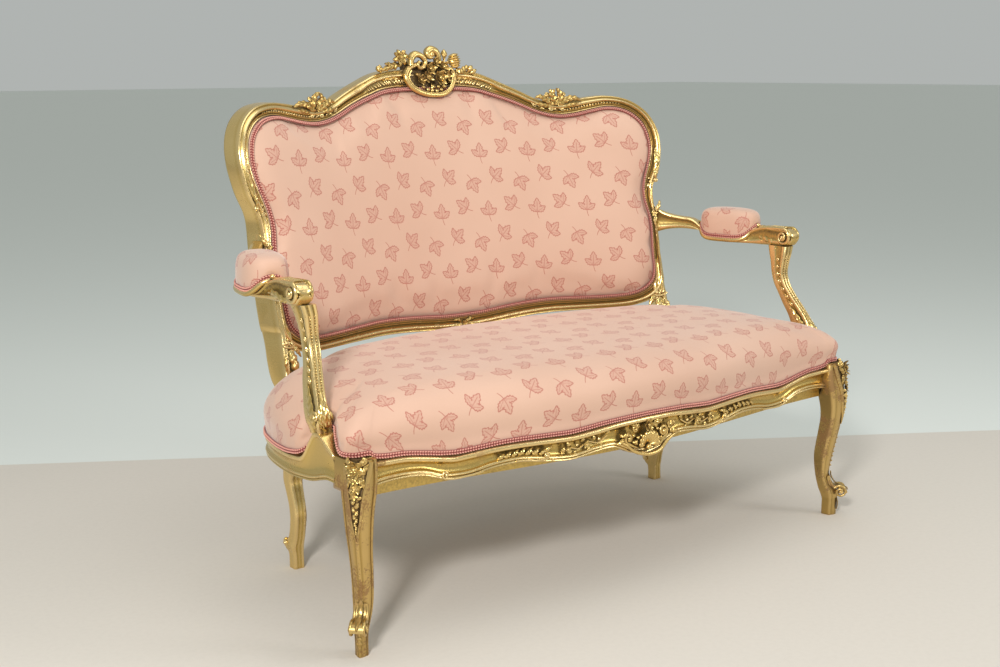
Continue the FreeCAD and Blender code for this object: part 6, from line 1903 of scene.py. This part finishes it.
    def back_place_at(self, row: Row, inset: float, depth: float, margin: float = 0.3) -> Vector:
        """A place on the back's cover, drawn in towards its middle line."""
        x, z = row[0], row[1]
        tx, tz = min(x, BACK_SPINE[0]), BACK_SPINE[1]
        away = math.hypot(tx - x, tz - z) or 1.0
        step = inset + margin / away
        return back_place(lerp(x, tx, step), lerp(z, tz, step), depth)

    def back(self) -> None:
        """The stuffed back, its braid, and the flat cover and braid on its outside."""
        levels = flow(BACK_RINGS, 3)
        rings = [self.whole([self.back_place_at(row, i, d - BACK_CROWN * c) for row in self.opening])
                 for i, d, c in levels]
        targets = self.whole([back_place(min(x, BACK_SPINE[0]), BACK_SPINE[1], -BACK_CROWN) for x, _ in self.opening])
        nodes = [back_place(x, BACK_SPINE[1], -BACK_CROWN) for x in spine(BACK_SPINE[0])]
        flat_place = lambda p: (p.x * (1 + 0.018 * (p.x / 560.0) ** 2), p.z * 1.031)
        cover = self.cover(rings, targets, nodes, flat_place)
        self.sewn(cover, "back_upholstery", len(rings[0]), 1.6, 4.0, ["back_cover", "back_stuffing"], 0.8)
        self.opening_braid("back_braid", ["back_gimp"], 0.023, -7.5, 1)
        outside = [self.whole([self.back_place_at(row, i, BACK_OUTSIDE) for row in self.opening]) for i in
                   (0.0, 0.06, 0.12, 0.2, 0.3, 0.4, 0.5, 0.6, 0.7, 0.8, 0.9)]
        aims = self.whole([back_place(min(x, BACK_SPINE[0]), BACK_SPINE[1], BACK_OUTSIDE) for x, z in self.opening])
        middle = [back_place(x, BACK_SPINE[1], BACK_OUTSIDE) for x in spine(BACK_SPINE[0])]
        sheet = self.cover(outside, aims, middle, flat_place)
        sheet.faces = [tuple(reversed(face)) for face in sheet.faces]
        made = self.shop.piece(sheet, "outside_cloth", Finish.SATIN, "cover_fabric", ["outside_back_cover"], True, 180)
        self.opening_braid("outside_braid", ["outside_back_gimp"], 0.019, 22.5, -1)

    def opening_braid(self, name: str, nodes: list[str], inset: float, depth: float, way: int) -> None:
        """A braid round the opening of the back, on its front or its outside."""
        points = self.whole([self.back_place_at(row, inset, depth) for row in self.opening])
        inner = self.whole([self.back_place_at(row, inset + 0.01, depth - (3.0 if way > 0 else 0))
                            for row in self.opening])
        ring, up = [], []
        for p, q in zip(points, inner):
            face = (back_place(p.x, p.z, -way * 10.0) - back_place(p.x, p.z, 0)).normalized()
            across = (q - p).normalized()
            out = (face - across * face.dot(across)).normalized()
            ring.append((p, out))
            up.append(across)
        self.shop.piece(self.braid(ring, up), name, Finish.BRAID, "gimp_braid", nodes)

    def pads(self) -> None:
        """The arm pads and their braids."""
        rings = [pad_ring(s, r, 0.0) for s, r in flow(PAD_RINGS, 3)]
        turn = math.radians(PAD_TURN)
        along = Vector((math.cos(turn), math.sin(turn), 0))
        centre = Vector((*PAD_CENTRE, PAD_TOP))
        flat_place = lambda p: ((p - centre).dot(along), (p.x - centre.x) * -along.y + (p.y - centre.y) * along.x)
        skin = self.cover(rings, [centre] * len(rings[0]), [centre], flat_place)
        for part, side in ((skin, "right"), (skin.reflected(), "left")):
            self.sewn(part, f"pad_{side}", len(rings[0]), 2.5, 2.0,
                      [f"arm_pad_cover_{side}", f"arm_pad_stuffing_{side}"], 0.9)
        places = pad_ring(0.965, 0.06, -2.0, 96)
        ring = [(p, Vector((p.x - centre.x, p.y - centre.y, 0)).normalized()) for p in places]
        band = self.braid(ring, [Vector((0, 0, 1))] * len(ring))
        for part, side in ((band, "right"), (band.reflected(), "left")):
            self.shop.piece(part, f"pad_braid_{side}", Finish.BRAID, "gimp_braid", [f"arm_pad_gimp_{side}"])

    def hessian(self) -> None:
        """The hessian stretched over the springs, seen from below."""
        def plan(row: Row, inset: float) -> Vector:
            return Vector((lerp(row[0], min(row[0], SEAT_SPINE[0]), inset),
                           lerp(row[1], SEAT_SPINE[1], inset), HESSIAN_HEIGHT))

        rings = [self.whole([plan(row, inset) for row in self.edge]) for inset in (0.165, 0.4, 0.65, 0.9)]
        aims = self.whole([plan(row, 1.0) for row in self.edge])
        nodes = [Vector((x, SEAT_SPINE[1], HESSIAN_HEIGHT)) for x in spine(SEAT_SPINE[0])]
        skin = self.cover(rings, aims, nodes, lambda p: (p.x, p.y))
        made = self.shop.piece(skin, "spring_hessian", Finish.HESSIAN, "hessian", ["seat_hessian"], True, 180)

    def make(self) -> None:
        """Makes all the upholstery that shows."""
        self.hessian()
        self.seat()
        self.back()
        self.pads()


@dataclass
class Underside:
    """What shows from below: webs and hessian; springs, blocks and fixings keep their modelled form."""

    shop: Workshop
    nodes: dict[str, bpy.types.Object] = field(default_factory=dict)

    def strap(self, node: str) -> Skin:
        """A web's skin as a sheet at the middle of each part of a node's straps, with a slight sag."""
        skin = self.shop.skin()
        mesh = self.nodes[node].data
        link = list(range(len(mesh.vertices)))

        def root(i: int) -> int:
            while link[i] != i:
                link[i] = link[link[i]]
                i = link[i]
            return i

        for edge in mesh.edges:
            link[root(edge.vertices[0])] = root(edge.vertices[1])
        groups: dict[tuple[int, ...], list[Vector]] = {}
        for i, vertex in enumerate(mesh.vertices):
            groups.setdefault((root(i),), []).append(self.nodes[node].matrix_world @ vertex.co)
        seen: set[tuple[int, int]] = set()
        for points in groups.values():
            low = [min(p[n] for p in points) for n in range(3)]
            high = [max(p[n] for p in points) for n in range(3)]
            key = (round((low[0] + high[0]) * 100), round((low[1] + high[1]) * 100))
            if min(high[0] - low[0], high[1] - low[1]) < 0.01 or key in seen:
                continue
            seen.add(key)
            long_x = high[0] - low[0] > high[1] - low[1]
            count, z = 24, (low[2] + high[2]) / 2
            rows = []
            for i in range(count + 1):
                t = i / count
                sag = -1.2 * math.sin(math.pi * t) * MM
                if long_x:
                    x = lerp(low[0], high[0], t)
                    rows.append([(x, low[1], z + sag), (x, high[1], z + sag)])
                else:
                    y = lerp(low[1], high[1], t)
                    rows.append([(low[0], y, z + sag), (high[0], y, z + sag)])
            base = len(skin.points)
            for row in rows:
                for x, y, up in row:
                    skin.points.append(Vector((x / MM, (y - self.shop.shift) / MM, up / MM)))
                    skin.tones.append(0.7)
                    skin.maps.append((0.0, 0.0))
            for i in range(count):
                a = base + 2 * i
                skin.faces.append((a, a + 1, a + 3, a + 2))
        return skin

    def make(self) -> None:
        """Makes the webs, and gives the rest, the back's hessian among them, its finish."""
        for node, name in (("seat_webbing_short", "webs_front_to_back"), ("seat_webbing_long", "webs_side_to_side")):
            if node not in self.nodes:
                continue
            made = self.shop.piece(self.strap(node), name, Finish.WEB, "jute_webbing", [node])
        finishes = {"back_hessian": Finish.HESSIAN, "back_webbing": Finish.WEB,
                    "seat_springs": Finish.WIRE, "spring_lashing": Finish.TWINE, "corner_blocks": Finish.BEECH,
                    "corner_block_screws": Finish.SCREW, "crest_dowels": Finish.BEECH, "arm_dowels": Finish.BEECH,
                    "back_seat_rail": Finish.BEECH}
        for name, finish in finishes.items():
            if name in self.nodes:
                mesh = self.nodes[name].data
                mesh.materials.clear()
                mesh.materials.append(finish.material())


@dataclass
class Studio:
    """The room, the lights and the camera."""

    shop: Workshop
    focal: float = 49.39
    yaw: float = 37.363
    pitch: float = 11.048
    roll: float = -0.205
    eye: Spot = (-1.83639, -1.97777, 1.03252)

    def floor(self) -> None:
        """A pale floor, coloured as a plain wall beyond a line far behind."""
        mesh = bpy.data.meshes.new("studio_floor")
        w, d = 60.0, 60.0
        mesh.from_pydata([(-w, -d, 0), (w, -d, 0), (w, d, 0), (-w, d, 0)], [], [(0, 1, 2, 3)])
        bench = Bench("studio_floor")
        where = bench.place()
        parts = bench.node("ShaderNodeSeparateXYZ", None, {"Vector": where})
        far = (parts["Y"] * 0.859 + parts["X"] * 0.512).over(0.690, 0.700)
        pile = bench.noise(where, 90.0, 4.0)
        colour = bench.blend((pile - 0.4) * 0.5, (0.72, 0.665, 0.59), (0.60, 0.545, 0.475))
        colour = bench.blend(far, colour, (0.80, 0.83, 0.785))
        mesh.materials.append(bench.finish(Base_Color=colour, Roughness=0.9))
        made = bpy.data.objects.new("studio_floor", mesh)
        bpy.context.scene.collection.objects.link(made)

    @staticmethod
    def lamp(name: str, place: Spot, aim: Spot, size: float, power: float) -> None:
        """A soft square lamp."""
        light = bpy.data.lights.new(name, "AREA")
        light.size, light.energy = size, power
        made = bpy.data.objects.new(name, light)
        made.location = place
        made.rotation_euler = (Vector(aim) - Vector(place)).to_track_quat("-Z", "Y").to_euler()
        bpy.context.scene.collection.objects.link(made)

    def camera(self) -> None:
        """The camera, where the photographer stood."""
        yaw, pitch, roll = (math.radians(v) for v in (self.yaw, self.pitch, self.roll))
        ahead = Vector((math.sin(yaw) * math.cos(pitch), math.cos(yaw) * math.cos(pitch), -math.sin(pitch)))
        right = Vector((math.cos(yaw), -math.sin(yaw), 0))
        up = right.cross(ahead)
        r = right * math.cos(roll) + up * math.sin(roll)
        u = up * math.cos(roll) - right * math.sin(roll)
        data = bpy.data.cameras.new("main_view")
        data.lens, data.sensor_width = self.focal, 36.0
        made = bpy.data.objects.new("main_view", data)
        x, y, z = self.eye
        frame = Matrix((r, u, -ahead)).transposed().to_4x4()
        frame.translation = Vector((x, y + self.shop.shift, z))
        made.matrix_world = frame
        bpy.context.scene.collection.objects.link(made)
        bpy.context.scene.camera = made

    def make(self) -> None:
        """Sets up the studio."""
        self.floor()
        middle = (0.0, 0.0, 0.5)
        self.lamp("key_lamp", (-3.0, -2.6, 2.6), middle, 0.6, 120.0)
        self.lamp("fill_lamp", (2.4, -3.0, 2.2), middle, 1.2, 30.0)
        self.lamp("top_lamp", (0.2, -0.3, 3.6), middle, 2.4, 26.0)
        world = bpy.data.worlds.new("studio")
        world.use_nodes = True
        background = world.node_tree.nodes["Background"]
        background.inputs["Color"].default_value = (0.87, 0.91, 0.885, 1.0)
        background.inputs["Strength"].default_value = 0.50
        bpy.context.scene.world = world
        bpy.context.scene.view_settings.view_transform = "Standard"
        self.camera()


def main() -> None:
    """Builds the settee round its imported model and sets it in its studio."""
    logging.basicConfig(level=logging.INFO, format="%(message)s")
    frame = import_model()
    shift = min(mount["pos_m"][1] for mount in frame["record"]["mounts"])
    shop = Workshop(shift)
    BackFrame(shop).make()
    SeatFrame(shop).make()
    Arms(shop).make()
    Cushions(shop).make()
    Underside(shop, frame["nodes"]).make()
    Studio(shop).make()


if __name__ == "__main__":
    main()
